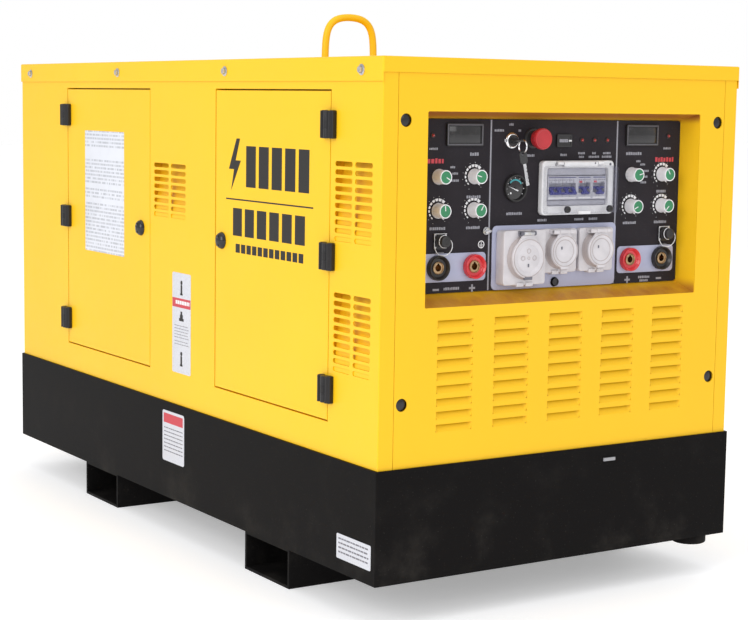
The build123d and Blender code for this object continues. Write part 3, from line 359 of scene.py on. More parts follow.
def finished(piece, material, body=ROOT, stands_for=()):
    """Paints a piece, lets it ride on a body and hides the frame nodes that it stands for."""
    if material is not None:
        piece.data.materials.clear()
        piece.data.materials.append(paint(material))
    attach(piece, body)
    if stands_for:
        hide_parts(*stands_for)
    return piece


def painted(piece, material):
    """Gives a piece its only material, before it is joined to others."""
    piece.data.materials.clear()
    piece.data.materials.append(paint(material))
    return piece


# ---- shader kit
def named_socket(sockets, key):
    """A socket by its place, identifier or name."""
    if isinstance(key, int):
        return sockets[key]
    for socket in sockets:
        if socket.identifier == key or socket.name == key.replace("_", " "):
            return socket
    raise KeyError(f"no socket {key}")


class Shade:
    """One output of a material's node; arithmetic on it adds Math nodes."""

    def __init__(self, finish, node, socket):
        self.finish = finish
        self.node = node
        self.socket = socket

    def out(self, key):
        """Another output of the same node."""
        return Shade(self.finish, self.node, named_socket(self.node.outputs, key))

    def math(self, operation, *others):
        """A Math node on this value and others."""
        return self.finish.node("ShaderNodeMath", {"operation": operation}, self, *others)

    def __add__(self, other):
        return self.math("ADD", other)

    def __sub__(self, other):
        return self.math("SUBTRACT", other)

    def __rsub__(self, other):
        return self.finish.node("ShaderNodeMath", {"operation": "SUBTRACT"}, other, self)

    def __mul__(self, other):
        return self.math("MULTIPLY", other)

    def __truediv__(self, other):
        return self.math("DIVIDE", other)

    def __abs__(self):
        return self.math("ABSOLUTE")

    __radd__ = __add__
    __rmul__ = __mul__


class Finish:
    """A material under construction on the piece's own Object coordinates."""

    def __init__(self, name):
        self.material = bpy.data.materials.new(name)
        self.material.use_nodes = True
        self.tree = self.material.node_tree
        self.tree.nodes.clear()
        self.place = self.node("ShaderNodeTexCoord").out("Object")

    def node(self, kind, settings=None, *values, **named):
        """Adds a node, applies its settings, then fills or links its sockets."""
        made = self.tree.nodes.new(kind)
        for key, value in (settings or {}).items():
            if key == "stops":
                self.stops(made.color_ramp, value)
            else:
                setattr(made, key, value)
        for key, value in [*enumerate(values), *named.items()]:
            socket = named_socket(made.inputs, key)
            if isinstance(value, Shade):
                self.tree.links.new(value.socket, socket)
            else:
                socket.default_value = value
        first = made.outputs[0] if made.outputs else None
        return Shade(self, made, first)

    def stops(self, ramp, stops):
        """Fills a colour ramp with (position, colour) stops."""
        while len(ramp.elements) < len(stops):
            ramp.elements.new(1)
        for element, (position, colour) in zip(ramp.elements, stops):
            element.position = position
            element.color = (*colour[:3], 1)

    def axis(self, name):
        """One coordinate of the surface, in metres."""
        return self.node("ShaderNodeSeparateXYZ", None, self.place).out(name)

    def stretched(self, scale):
        """Object coordinates scaled along each axis."""
        return self.node("ShaderNodeMapping", None, self.place, Scale=scale)

    def noise(self, scale, detail=3.0, roughness=0.5, vector=None, distortion=0.0):
        """A noise value round 0.5."""
        place = self.place if vector is None else vector
        return self.node(
            "ShaderNodeTexNoise", None, Vector=place, Scale=scale, Detail=detail,
            Roughness=roughness, Distortion=distortion,
        )

    def band(self, value, start, stop):
        """0 below start, 1 above stop, soft between them."""
        settings = {"interpolation_type": "SMOOTHSTEP"}
        return self.node(
            "ShaderNodeMapRange", settings, Value=value, From_Min=start, From_Max=stop,
        )

    def mix(self, factor, first, second):
        """A colour between two colours."""
        settings = {"data_type": "RGBA"}
        first, second = [c if isinstance(c, Shade) else (*c[:3], 1) for c in (first, second)]
        mixed = self.node("ShaderNodeMix", settings, Factor_Float=factor, A_Color=first, B_Color=second)
        return mixed.out("Result_Color")

    def ramp(self, value, *stops):
        """A colour ramp over a value."""
        return self.node("ShaderNodeValToRGB", {"stops": stops}, value)

    def raised(self, height, strength, depth):
        """A bumped normal; depth is in metres."""
        return self.node("ShaderNodeBump", None, Height=height, Strength=strength, Distance=depth)

    def surface(self, colour, roughness, metallic=0.0, normal=None, **constants):
        """The surface shader and the output; constants are set on its own sockets."""
        if not isinstance(colour, Shade):
            colour = (*colour[:3], 1)
        shader = self.node(
            "ShaderNodeBsdfPrincipled", None, Base_Color=colour, Roughness=roughness,
            Metallic=metallic, **constants,
        )
        if normal is not None:
            self.tree.links.new(normal.socket, shader.node.inputs["Normal"])
        self.node("ShaderNodeOutputMaterial", None, Surface=shader)
        return self.material


def darker(colour, share):
    """A colour with its brightness scaled."""
    return tuple(channel * share for channel in colour[:3])


FINISHES = {}


def finish(name):
    """Marks a function as the recipe of a named material."""
    def keep(recipe):
        FINISHES[name] = recipe
        return recipe
    return keep


def recipe(kind, *values):
    """The recipe of a material that needs only plain values."""
    return lambda name: kind(name, *values)


def paint(name):
    """The named material, made the first time it is asked for."""
    title = f"{name}_finish"
    if title not in bpy.data.materials:
        FINISHES[name](title)
    return bpy.data.materials[title]


def tones():
    """The colours that a user can change."""
    return bpy.context.scene.welder_colours


# ---- painted metal
def enamel(
    name, colour, roughness=0.35, peel=0.05, peel_scale=220, dust=0.0, mask=None,
    masked=(0.016, 0.015, 0.016),
    **constants,
):
    """Sprayed paint: faint tone drift, orange peel, hairline scuffs and dust in patches."""
    made = Finish(name)
    drift = made.noise(1.6, 2)
    tone = made.mix(made.band(drift, 0.35, 0.65), darker(colour, 0.955), colour)
    scuff_place = made.stretched((14, 160, 160))
    scuffs = made.band(made.noise(2.2, 6, 0.7, scuff_place), 0.70, 0.78)
    tone = made.mix(scuffs * 0.10, tone, (0.80, 0.76, 0.66))
    if dust:
        patches = made.band(made.noise(9, 7, 0.68), 0.50, 0.78)
        specks = made.band(made.noise(420, 2), 0.68, 0.74)
        tone = made.mix(patches * dust + specks * dust * 1.4, tone, (0.46, 0.42, 0.36))
    if mask is not None:
        tone = made.mix(mask(made), tone, masked)
    gloss = made.noise(30, 4) * 0.10 + (roughness - 0.05) + scuffs * 0.12
    skin = made.noise(peel_scale, 2)
    normal = made.raised(skin, peel, 0.0006)
    return made.surface(tone, gloss, normal=normal, **constants)


CANOPY_GLOSS = {"roughness": 0.44, "Coat_Weight": 0.06, "Coat_Roughness": 0.2, "Specular_IOR_Level": 0.25}


@finish("canopy_yellow")
def canopy_yellow(name):
    """Gloss powder coat of the canopy."""
    return enamel(name, tones().canopy, **CANOPY_GLOSS)


@finish("recess_yellow")
def recess_yellow(name):
    """Canopy paint of the recess, with painted shade: brown on the top wall and darker streaks on the ledge below
    the panel.
    """
    def darkening(made):
        height = made.axis("Z")
        # painted shade of the recess walls: the top wall browned, the ledge below the panel darkened in streaks
        top = made.band(height, 0.915, 0.932)
        ledge_shade = 1 - made.band(height, 0.588, 0.612)
        streaks = made.noise(1.4, 4, 0.6, made.stretched((20, 26, 8)))
        return top * 0.95 + ledge_shade * (streaks * 0.7 + 0.36)
    return enamel(name, tones().canopy, mask=darkening, masked=(0.34, 0.105, 0.018), **CANOPY_GLOSS)


@finish("door_yellow")
def door_yellow(name):
    """Canopy paint with the hinge leaves, which stand proud of the face, in black."""
    def leaves(made):
        return made.band(abs(made.axis("Y")), (FACE_Y + 1) * MM, (FACE_Y + 2) * MM)
    return enamel(name, tones().canopy, mask=leaves, **CANOPY_GLOSS)


@finish("base_black")
def base_black(name):
    """Textured black powder coat of the skid, with road dust."""
    made = Finish(name)
    colour = tones().base
    grain = made.noise(620, 3, 0.6)
    lumps = made.noise(120, 3)
    specks = made.band(made.noise(260, 2, 0.5), 0.66, 0.72)
    patches = made.band(made.noise(7, 6, 0.65), 0.48, 0.80)
    low_dust = 1 - made.band(made.axis("Z"), 0.02, 0.30)
    dirt = patches * 0.02 + specks * 0.05 + low_dust * patches * 0.06
    tone = made.mix(dirt, colour, (0.30, 0.27, 0.23))
    lug = made.band(made.axis("X"), 0.8505, 0.8510)
    tone = made.mix(lug, tone, (0.34, 0.34, 0.36))
    gloss = grain * 0.12 + patches * 0.10 + 0.42
    normal = made.raised(grain + lumps * 0.6, 0.22, 0.0005)
    return made.surface(tone, gloss, normal=normal, Specular_IOR_Level=0.03)


@finish("panel_black")
def panel_black(name):
    """Printed film of the control panel: near-black, faintly grained, with dust motes."""
    made = Finish(name)
    motes = made.band(made.noise(900, 1), 0.74, 0.78)
    cloud = made.band(made.noise(14, 5, 0.6), 0.40, 0.75)
    tone = made.mix(cloud * 0.35, tones().panel, darker(tones().panel, 1.5))
    tone = made.mix(motes * 0.30, tone, (0.55, 0.52, 0.52))
    normal = made.raised(made.noise(1400, 2), 0.10, 0.0002)
    return made.surface(tone, cloud * 0.10 + 0.40, normal=normal, Specular_IOR_Level=0.1)


@finish("plate_grey")
def plate_grey(name):
    """Blue-grey sprayed mounting plates."""
    return enamel(name, tones().plates, 0.42, 0.06, 500, dust=0.08)


@finish("hinge_black")
def hinge_black(name):
    """Fine textured black of the hinge leaves."""
    made = Finish(name)
    grain = made.noise(1500, 3)
    worn = made.band(made.noise(60, 5, 0.6), 0.58, 0.75)
    tone = made.mix(worn * 0.25, (0.014, 0.013, 0.014), (0.09, 0.085, 0.09))
    normal = made.raised(grain, 0.12, 0.0003)
    return made.surface(tone, grain * 0.12 + 0.30, normal=normal, Specular_IOR_Level=0.35)


# ---- iron, steel, brass
def casting(name, colour):
    """Enamel over sand-cast iron: pitted, oily in patches."""
    made = Finish(name)
    pits = made.noise(260, 5, 0.65)
    oil = made.band(made.noise(6, 5, 0.6), 0.50, 0.70)
    tone = made.mix(oil * 0.55, colour, darker(colour, 0.35))
    tone = made.mix(made.band(pits, 0.62, 0.72) * 0.3, tone, (0.12, 0.10, 0.08))
    return made.surface(tone, 0.55 - oil * 0.22, normal=made.raised(pits, 0.45, 0.0012))


def metal(name, colour, roughness, grain_scale=(40, 900, 900), dirt=0.15):
    """Bare metal with a drawn or turned grain along one axis."""
    made = Finish(name)
    grain = made.noise(1, 4, 0.6, made.stretched(grain_scale))
    stain = made.band(made.noise(35, 5, 0.6), 0.50, 0.80)
    tone = made.mix(grain * 0.35, colour, darker(colour, 0.70))
    tone = made.mix(stain * dirt, tone, (0.10, 0.085, 0.07))
    gloss = grain * 0.16 + stain * 0.18 + (roughness - 0.08)
    return made.surface(tone, gloss, 1.0, made.raised(grain, 0.10, 0.0002))


@finish("zinc_steel")
def zinc_steel(name):
    """Zinc-plated fasteners, slightly iridescent and dulled."""
    made = Finish(name)
    bloom = made.noise(90, 4, 0.6)
    tone = made.ramp(
        bloom, (0.35, (0.42, 0.42, 0.46)), (0.5, (0.60, 0.60, 0.62)), (0.65, (0.56, 0.53, 0.44)),
    )
    grain = made.noise(1200, 2)
    return made.surface(tone, bloom * 0.25 + 0.20, 1.0, made.raised(grain, 0.10, 0.0002))


@finish("contact_brass")
def contact_brass(name):
    """Turned brass insert, tarnished in patches."""
    made = Finish(name)
    rings = made.noise(1, 3, 0.5, made.stretched((2600, 60, 60)))
    tarnish = made.band(made.noise(120, 4, 0.6), 0.45, 0.75)
    tone = made.mix(tarnish * 0.6, (0.46, 0.31, 0.17), (0.17, 0.11, 0.07))
    return made.surface(tone, rings * 0.18 + tarnish * 0.15 + 0.18, 1.0, made.raised(rings, 0.12, 0.0002))


@finish("muffler_steel")
def muffler_steel(name):
    """Heat-proof paint burnt brown round the hottest stretch."""
    made = Finish(name)
    soot = made.noise(18, 6, 0.65)
    heat = made.band(abs(made.axis("X") + 0.37), 0.05, 0.26)
    tone = made.mix(heat, (0.20, 0.12, 0.07), (0.16, 0.155, 0.15))
    tone = made.mix(made.band(soot, 0.45, 0.75) * 0.6, tone, (0.05, 0.035, 0.03))
    return made.surface(tone, soot * 0.2 + 0.5, 0.55, made.raised(soot, 0.2, 0.0008))


@finish("radiator_aluminium")
def radiator_aluminium(name):
    """Brazed core: tubes standing across, louvred fins between them, with painted shade in the gaps between the
    fins.
    """
    made = Finish(name)
    fins = (made.axis("Z") * 420).math("FRACT")
    tubes = (made.axis("Y") * 95).math("FRACT")
    in_core = made.band(abs(made.axis("Y")), 0.262, 0.258)
    # the gaps between the fins are painted dark: painted shade
    fin_gap_shade = made.band(fins, 0.35, 0.5) * in_core
    tube_line = made.band(abs(tubes - 0.5), 0.30, 0.34) * in_core
    tone = made.mix(fin_gap_shade * 0.7, (0.42, 0.43, 0.44), (0.10, 0.10, 0.105))
    tone = made.mix(tube_line, tone, (0.30, 0.30, 0.31))
    dust = made.band(made.noise(12, 6, 0.6), 0.45, 0.8)
    tone = made.mix(dust * 0.35, tone, (0.32, 0.28, 0.22))
    height = tube_line * 1.0 - fin_gap_shade * 0.5
    return made.surface(tone, dust * 0.2 + 0.42, 0.7, made.raised(height, 0.5, 0.0015))


# ---- plastic, rubber, glass
def moulded(name, colour, roughness=0.42, grain=0.08, grain_scale=1300, drift=0.9, **constants):
    """Injection-moulded plastic: spark-eroded grain, faint flow marks, grime in patches."""
    made = Finish(name)
    flow = made.noise(24, 3, 0.55, None, 0.8)
    tone = made.mix(made.band(flow, 0.35, 0.65), darker(colour, drift), colour)
    darkening = made.band(made.noise(70, 6, 0.7), 0.56, 0.80)
    tone = made.mix(darkening * 0.16, tone, darker(colour, 0.45))
    texture = made.noise(grain_scale, 2)
    gloss = texture * 0.10 + darkening * 0.10 + (roughness - 0.05)
    return made.surface(tone, gloss, normal=made.raised(texture, grain, 0.0002), **constants)


MOULDED = {
    "knob_grey": ((0.86, 0.85, 0.88), 0.42),
    "knob_green": ((0.028, 0.215, 0.092), 0.40),
    "outlet_grey": ((0.60, 0.575, 0.60), 0.36),
    # the darker grey of the outlet collars, wells and lid rings is painted shade at their rims and grooves
    "outlet_edge": ((0.42, 0.37, 0.37), 0.40),
    "breaker_frame": ((0.76, 0.76, 0.78), 0.38),
    "breaker_case": ((0.48, 0.48, 0.54), 0.45),
    "breaker_slot": ((0.14, 0.14, 0.17), 0.55),
    "lever_blue": ((0.018, 0.022, 0.22), 0.35),
    "switch_plastic": ((0.030, 0.030, 0.032), 0.45),
    "instrument_black": ((0.018, 0.017, 0.018), 0.38),
    "connector_black": ((0.016, 0.015, 0.016), 0.42),
    "fan_plastic": ((0.022, 0.022, 0.024), 0.50),
    "cleaner_black": ((0.022, 0.022, 0.025), 0.45),
    "battery_case": ((0.020, 0.020, 0.022), 0.42),
    "lock_black": ((0.012, 0.012, 0.014), 0.18),
    "cap_yellow": ((0.62, 0.36, 0.03), 0.45),
}


@finish("stop_red")
def stop_red(name):
    """Red of the emergency stop, with faint flow marks."""
    return moulded(name, tones().stop, 0.38, drift=0.85)


@finish("socket_red")
def socket_red(name):
    """Glossy red insulation of the positive weld outputs."""
    return moulded(name, darker(tones().stop, 1.45), 0.24, 0.04, Coat_Weight=0.4)


def rubber(name, colour=(0.016, 0.016, 0.016), groove=None):
    """Dull rubber with bloom and fine pores."""
    made = Finish(name)
    pores = made.noise(900, 4, 0.6)
    bloom = made.band(made.noise(25, 5, 0.6), 0.45, 0.8)
    tone = made.mix(bloom * 0.3, colour, (0.07, 0.068, 0.065))
    height = pores if groove is None else pores * 0.3 + groove(made)
    return made.surface(tone, pores * 0.12 + 0.62, normal=made.raised(height, 0.3, 0.0005))


@finish("belt_rubber")
def belt_rubber(name):
    """Belt with ribs along its run."""
    def ribs(made):
        return abs((made.axis("X") * 360).math("FRACT") - 0.5) * 2
    return rubber(name, groove=ribs)


@finish("foam_lining")
def foam_lining(name):
    """Convoluted dark sound foam behind the doors, with painted shade in the hollows and painted light on the
    peaks.
    """
    made = Finish(name)
    eggs = (made.axis("X") * 160).math("SINE") * (made.axis("Z") * 160).math("SINE")
    cells = made.noise(700, 5, 0.7)
    # the tone follows the egg height: painted shade in the hollows, painted light on the peaks
    tone = made.mix(made.band(eggs, -0.6, 0.8), (0.008, 0.008, 0.009), (0.045, 0.045, 0.048))
    height = eggs * 0.8 + cells * 0.4
    return made.surface(tone, cells * 0.1 + 0.85, normal=made.raised(height, 0.9, 0.004))


@finish("smoky_window")
def smoky_window(name):
    """Tinted clear cover of the breakers: see-through, scuffed and reflecting."""
    made = Finish(name)
    scuffs = made.band(made.noise(2, 6, 0.7, made.stretched((120, 60, 60))), 0.60, 0.80)
    edge = made.node("ShaderNodeLayerWeight", None, Blend=0.35).out("Facing")
    alpha = edge * 0.18 + scuffs * 0.012 + 0.06
    tone = made.mix(scuffs * 0.5, (0.22, 0.22, 0.30), (0.45, 0.45, 0.50))
    return made.surface(tone, scuffs * 0.2 + 0.10, Alpha=alpha)


@finish("meter_glass")
def meter_glass(name):
    """Dark filter window of the digital meters."""
    made = Finish(name)
    smudge = made.band(made.noise(60, 5, 0.65), 0.45, 0.75)
    tone = made.mix(smudge * 0.4, (0.010, 0.009, 0.010), (0.045, 0.040, 0.045))
    return made.surface(tone, smudge * 0.18 + 0.12, Coat_Weight=0.3)


@finish("lamp_red")
def lamp_red(name):
    """Unlit red lens with a pebbled back."""
    made = Finish(name)
    cells = made.noise(1600, 2)
    tone = made.mix(cells, (0.20, 0.004, 0.006), (0.42, 0.02, 0.02))
    return made.surface(tone, cells * 0.1 + 0.12, normal=made.raised(cells, 0.2, 0.0003), Coat_Weight=0.8)


def print_ink(name, colour, roughness=0.5):
    """Screen-printed ink with slightly uneven cover."""
    made = Finish(name)
    cover = made.noise(500, 3, 0.6)
    tone = made.mix(made.band(cover, 0.45, 0.70), colour, darker(colour, 0.80))
    return made.surface(tone, cover * 0.15 + roughness, normal=made.raised(cover, 0.05, 0.0001))


INKS = {
    "ink_white": (0.78, 0.78, 0.80),
    "ink_grey": (0.30, 0.30, 0.34),
    "ink_dim": (0.16, 0.155, 0.18),
    "ink_red": (0.55, 0.05, 0.07),
    "ink_teal": (0.05, 0.34, 0.38),
    "ink_black": (0.006, 0.004, 0.003),
    "ink_blue": (0.03, 0.035, 0.16),
}


def placard(name, ground, text, line_pitch, along, line_share=0.42):
    """A printed sheet: rows of broken dashes that stand for small print, and faint creases."""
    made = Finish(name)
    row = made.axis("Z") / line_pitch
    in_row = made.band(row.math("FRACT"), line_share, line_share + 0.08)
    number = row.math("FLOOR")
    words = made.node("ShaderNodeCombineXYZ", None, made.axis(along) * 260, number * 7.3, 0.0)
    dashes = made.band(made.noise(1, 2, 0.5, words), 0.44, 0.50)
    blank = made.noise(1, 0, 0.5, made.node("ShaderNodeCombineXYZ", None, 0.0, number * 3.1, 5.0))
    lines = in_row * dashes * made.band(blank, 0.34, 0.36)
    crease = made.noise(30, 5, 0.6)
    tone = made.mix(made.band(crease, 0.45, 0.7) * 0.25, ground, darker(ground, 0.86))
    tone = made.mix(lines * 0.6, tone, text)
    return made.surface(tone, crease * 0.15 + 0.36, normal=made.raised(crease, 0.08, 0.0008))


FINISHES.update({name: recipe(moulded, *values) for name, values in MOULDED.items()})
FINISHES.update({name: recipe(print_ink, colour) for name, colour in INKS.items()})
FINISHES.update({
    # primer of the engine rails, and satin black of the tank
    "frame_grey": recipe(enamel, (0.14, 0.14, 0.15), 0.5, 0.12, 400, 0.20),
    "tank_black": recipe(enamel, (0.02, 0.02, 0.021), 0.42, 0.10, 300, 0.12),
    "engine_iron": recipe(casting, (0.03, 0.085, 0.055)),
    "generator_iron": recipe(casting, (0.05, 0.06, 0.08)),
    # polished plating, turned shafts with their grain round X, and a nickel-plated key blank
    "chrome": recipe(metal, (0.80, 0.80, 0.82), 0.16, (300, 300, 300), 0.06),
    "shaft_steel": recipe(metal, (0.55, 0.55, 0.57), 0.30, (1500, 30, 30)),
    "key_steel": recipe(metal, (0.62, 0.62, 0.64), 0.26, (200, 200, 1200)),
    # black insulation of the negative weld outputs
    "socket_insulation": recipe(moulded, (0.016, 0.014, 0.014), 0.30, 0.06),
    "mount_rubber": recipe(rubber),
    # the instruction sheet on the first door, and plain label stock
    "placard_white": recipe(placard, (0.66, 0.68, 0.74), (0.25, 0.26, 0.30), 0.0085, "X"),
    "label_white": recipe(print_ink, (0.60, 0.61, 0.66), 0.40),
})


# ---- which frame node has which finish
NODE_FINISHES = {
    "base_black": ("base_tray", "fork_pockets"),
    "frame_grey": ("engine_rails",),
    "tank_black": ("fuel_tank",),
    "canopy_yellow": (
        "inner_frame", "roof_cover", "side_panel_left", "side_panel_right", "vent_baffles",
        "radiator_end_panel", "control_end_panel", "lifting_eye",
    ),
    "recess_yellow": ("control_recess",),
    "door_yellow": DOORS,
    "hinge_black": ("hinge_brackets",),
    "lock_black": [f"door_lock_{door[5:]}" for door in DOORS],
    "panel_black": ("control_panel",),
    "plate_grey": ("panel_plates",),
    "contact_brass": ("weld_contacts",),
    "socket_insulation": ("weld_sockets",),
    "instrument_black": ("panel_instruments",),
    "switch_plastic": ("switch_bodies",),
    "knob_grey": KNOBS,
    "key_steel": ("ignition_key",),
    "stop_red": ("emergency_button",),
    "connector_black": ("remote_sockets",),
    "breaker_frame": ("breaker_box",),
    "smoky_window": ("breaker_window",),
    "breaker_case": ("breakers",),
    "lever_blue": ("breaker_lever_1", "breaker_lever_2", "breaker_lever_3"),
    "outlet_grey": ("outlet_bodies", "outlet_cover_1", "outlet_cover_2", "outlet_cover_3"),
    "zinc_steel": ("fasteners",),
    "engine_iron": ("engine_block",),
    "generator_iron": ("generator_stator",),
    "shaft_steel": ("drive_line",),
    "fan_plastic": ("cooling_fan",),
    "belt_rubber": ("fan_belt",),
    "radiator_aluminium": ("radiator",),
    "muffler_steel": ("exhaust_muffler",),
    "cleaner_black": ("air_cleaner",),
    "battery_case": ("battery",),
    "mount_rubber": ("engine_mounts",),
}


class WELDER_OT_paint_frame(bpy.types.Operator):
    """Gives every carried-over frame node its finish"""

    bl_idname = "welder.paint_frame"
    bl_label = "Paint the frame"

    def execute(self, context):
        for name, nodes in NODE_FINISHES.items():
            for node in nodes:
                mesh = frame["nodes"][node].data
                mesh.materials.clear()
                mesh.materials.append(paint(name))
        return {"FINISHED"}


# ---- knobs and their dials
KNOB_LENGTH = 25.0
KNOB_RADIUS = 14.0
KNOB_RIBS = 24
# turn of each pointer at rest, in degrees from +Y towards +Z; a selector has no dial
POINTERS = {
    "knob_a1_upper": -30, "knob_a2_upper": 165, "knob_a1_lower": 95, "knob_a2_lower": 60,
    "knob_b1_upper": 15, "knob_b2_upper": 120, "knob_b1_lower": 205, "knob_b2_lower": 225,
}
SELECTORS = {"knob_a1_upper": (40, 12, -16), "knob_b1_upper": (74, 46, 14, -10, -36)}


def spot(centre, radius, degrees, x):
    """A point at a radius and angle round a centre, seen from the front."""
    turn = math.radians(degrees)
    return Vector((x, centre.y + radius * math.cos(turn), centre.z + radius * math.sin(turn)))


def facet(point, sides):
    """The number of the facet round X that a point lies on."""
    return int((math.atan2(point.z, point.y) % math.tau) / math.tau * sides)


def knob_body(name, base, sides=KNOB_RIBS * 3):
    """Tapered skirt knob: flange, ribs pressed into its side, and a recess for the cap."""
    body = rod(name, base, KNOB_RADIUS, KNOB_LENGTH, sides=sides, tip_radius=KNOB_RADIUS - 1.2)

    def between_ribs(face):
        centre = face.calc_center_median() / MM - base
        return abs(face.normal.x) < 0.5 and facet(centre, sides) % 3 == 0 and centre.x > 3.5

    pick(body, lambda face: abs(face.normal.x) < 0.5)
    bpy.ops.mesh.subdivide(number_cuts=1, smoothness=0)
    done(body)
    pick(body, lambda point: abs(point.co.x / MM - base.x - KNOB_LENGTH / 2) < 1, "VERT")
    bpy.ops.transform.translate(value=((3.0 - KNOB_LENGTH / 2) * MM, 0, 0))
    done(body)
    pick(body, between_ribs)
    bpy.ops.mesh.extrude_region_shrink_fatten(TRANSFORM_OT_shrink_fatten={"value": -0.55 * MM})
    done(body)
    inset(body, facing((1, 0, 0)), 1.6, 1.6)
    return painted(smoothed(body, 30), "knob_grey")


def knob_cap(name, base, degrees):
    """Green cap, crowned and rolled over at its rim, with a raised pointer line."""
    front = KNOB_LENGTH - 1.6
    rim = KNOB_RADIUS - 3.0
    cap = turned(
        name, ((front - 0.4, 0), (front - 0.4, rim), (front + 1.2, rim), (front + 1.7, rim - 0.6),
               (front + 1.9, rim - 2), (front + 2.0, 0)), base, steps=40,
    )
    painted(cap, "knob_green")
    start, stop = spot(base, 0.5, degrees, 0), spot(base, rim - 0.8, degrees, 0)
    across = (stop - start).cross(Vector((1, 0, 0))).normalized() * 0.85
    x = base.x + front + 1.75
    corners = [
        point + Vector((x, 0, 0)) for point in (start - across, stop - across, stop + across,
        start + across)
    ]
    line = painted(rounded(slab("pointer", corners, (0.5, 0, 0)), 0.15, 2), "ink_white")
    return joined(name, cap, line)


class WELDER_OT_knobs(bpy.types.Operator):
    """Models the eight panel knobs, each a ribbed body with a green cap and a pointer"""

    bl_idname = "welder.knobs"
    bl_label = "Knobs"

    def execute(self, context):
        first = None
        for node, degrees in POINTERS.items():
            centre = middle(node)
            base = Vector((PANEL_X + 0.5, centre.y, centre.z))
            if first is None:
                first = base
                body = knob_body(f"{node}_body", base)
                shaft = rod("shaft", base - Vector((10, 0, 0)), 3, 11, sides=24)
                body = joined(f"{node}_body", body, painted(rounded(shaft, 0.4, 2), "zinc_steel"))
                master = body
            else:
                body = copied(master, f"{node}_body", base - first)
            finished(body, None, node, (node,))
            finished(knob_cap(f"{node}_cap", base, degrees), None, node)
        return {"FINISHED"}


# ---- printing on the panel
INK_DEPTH = 0.25


def blocks(name, cubes, material):
    """Many small blocks in one mesh, each added as a cube in edit mode; cubes are (low, high) corners."""
    (start, stop), *others = cubes
    piece = block(name, start, stop)
    edit(piece)
    for start, stop in others:
        start, stop = Vector(start), Vector(stop)
        bpy.ops.mesh.primitive_cube_add(size=1, location=(start + stop) / 2 * MM, scale=(stop - start) * MM)
    done(piece)
    return painted(piece, material)


def word(x, y, z, letters, height, seed):
    """Small blocks in a row that stand for a word of print, centred on y and z."""
    draw = random.Random(seed)
    widths = [height * draw.choice((0.42, 0.55, 0.62, 0.74)) for _ in range(letters)]
    gap = height * 0.24
    y -= (sum(widths) + gap * (letters - 1)) / 2
    cubes = []
    for width in widths:
        drop = height * draw.choice((0, 0, 0.12))
        cubes.append(((x, y, z - height / 2), (x + INK_DEPTH, y + width, z + height / 2 - drop)))
        y += width + gap
    return cubes


def wedge(name, centre, inner, outer, degrees, half, x, flare=1.0, depth=INK_DEPTH):
    """A printed block across an angle of a dial, its outer end wider by a flare."""
    corners = [
        spot(centre, inner, degrees + half, x), spot(centre, outer, degrees + half * flare, x),
        spot(centre, outer, degrees - half * flare, x), spot(centre, inner, degrees - half, x),
    ]
    return slab(name, corners, (depth, 0, 0))


def dial_marks(centre, x):
    """Wedges that grow clockwise round a dial, and fine ticks outside them."""
    wedges = []
    for step in range(9):
        degrees = 226 - step * 21.5
        inner = 17.6
        outer = inner + 2.4 + step * 0.40
        half = 6.0 + step * 0.28
        wedges.append(wedge("wedge", centre, inner, outer, degrees, half, x, 1.1))
    wedges += [wedge("tick", centre, 25.2, 26.4, 246 - step * 27, 0.7, x) for step in range(12)]
    spike = [spot(centre, 17, -44, x), spot(centre, 22.5, -51, x), spot(centre, 17, -58, x)]
    wedges.append(slab("spike", spike, (INK_DEPTH, 0, 0)))
    return wedges


def plus_and_minus(x):
    """Marks under the weld outputs: a cross under each positive, a bar under each negative."""
    cubes = []
    for unit in "ab":
        for pole in ("negative", "positive"):
            place = mount_point(f"weld_output_{unit}_{pole}")
            z = place.z - 41
            cubes.append(((x, place.y - 7, z - 1.9), (x + INK_DEPTH, place.y + 7, z + 1.9)))
            if pole == "positive":
                cubes.append(((x, place.y - 1.9, z - 7), (x + INK_DEPTH * 1.2, place.y + 1.9, z + 7)))
    return cubes


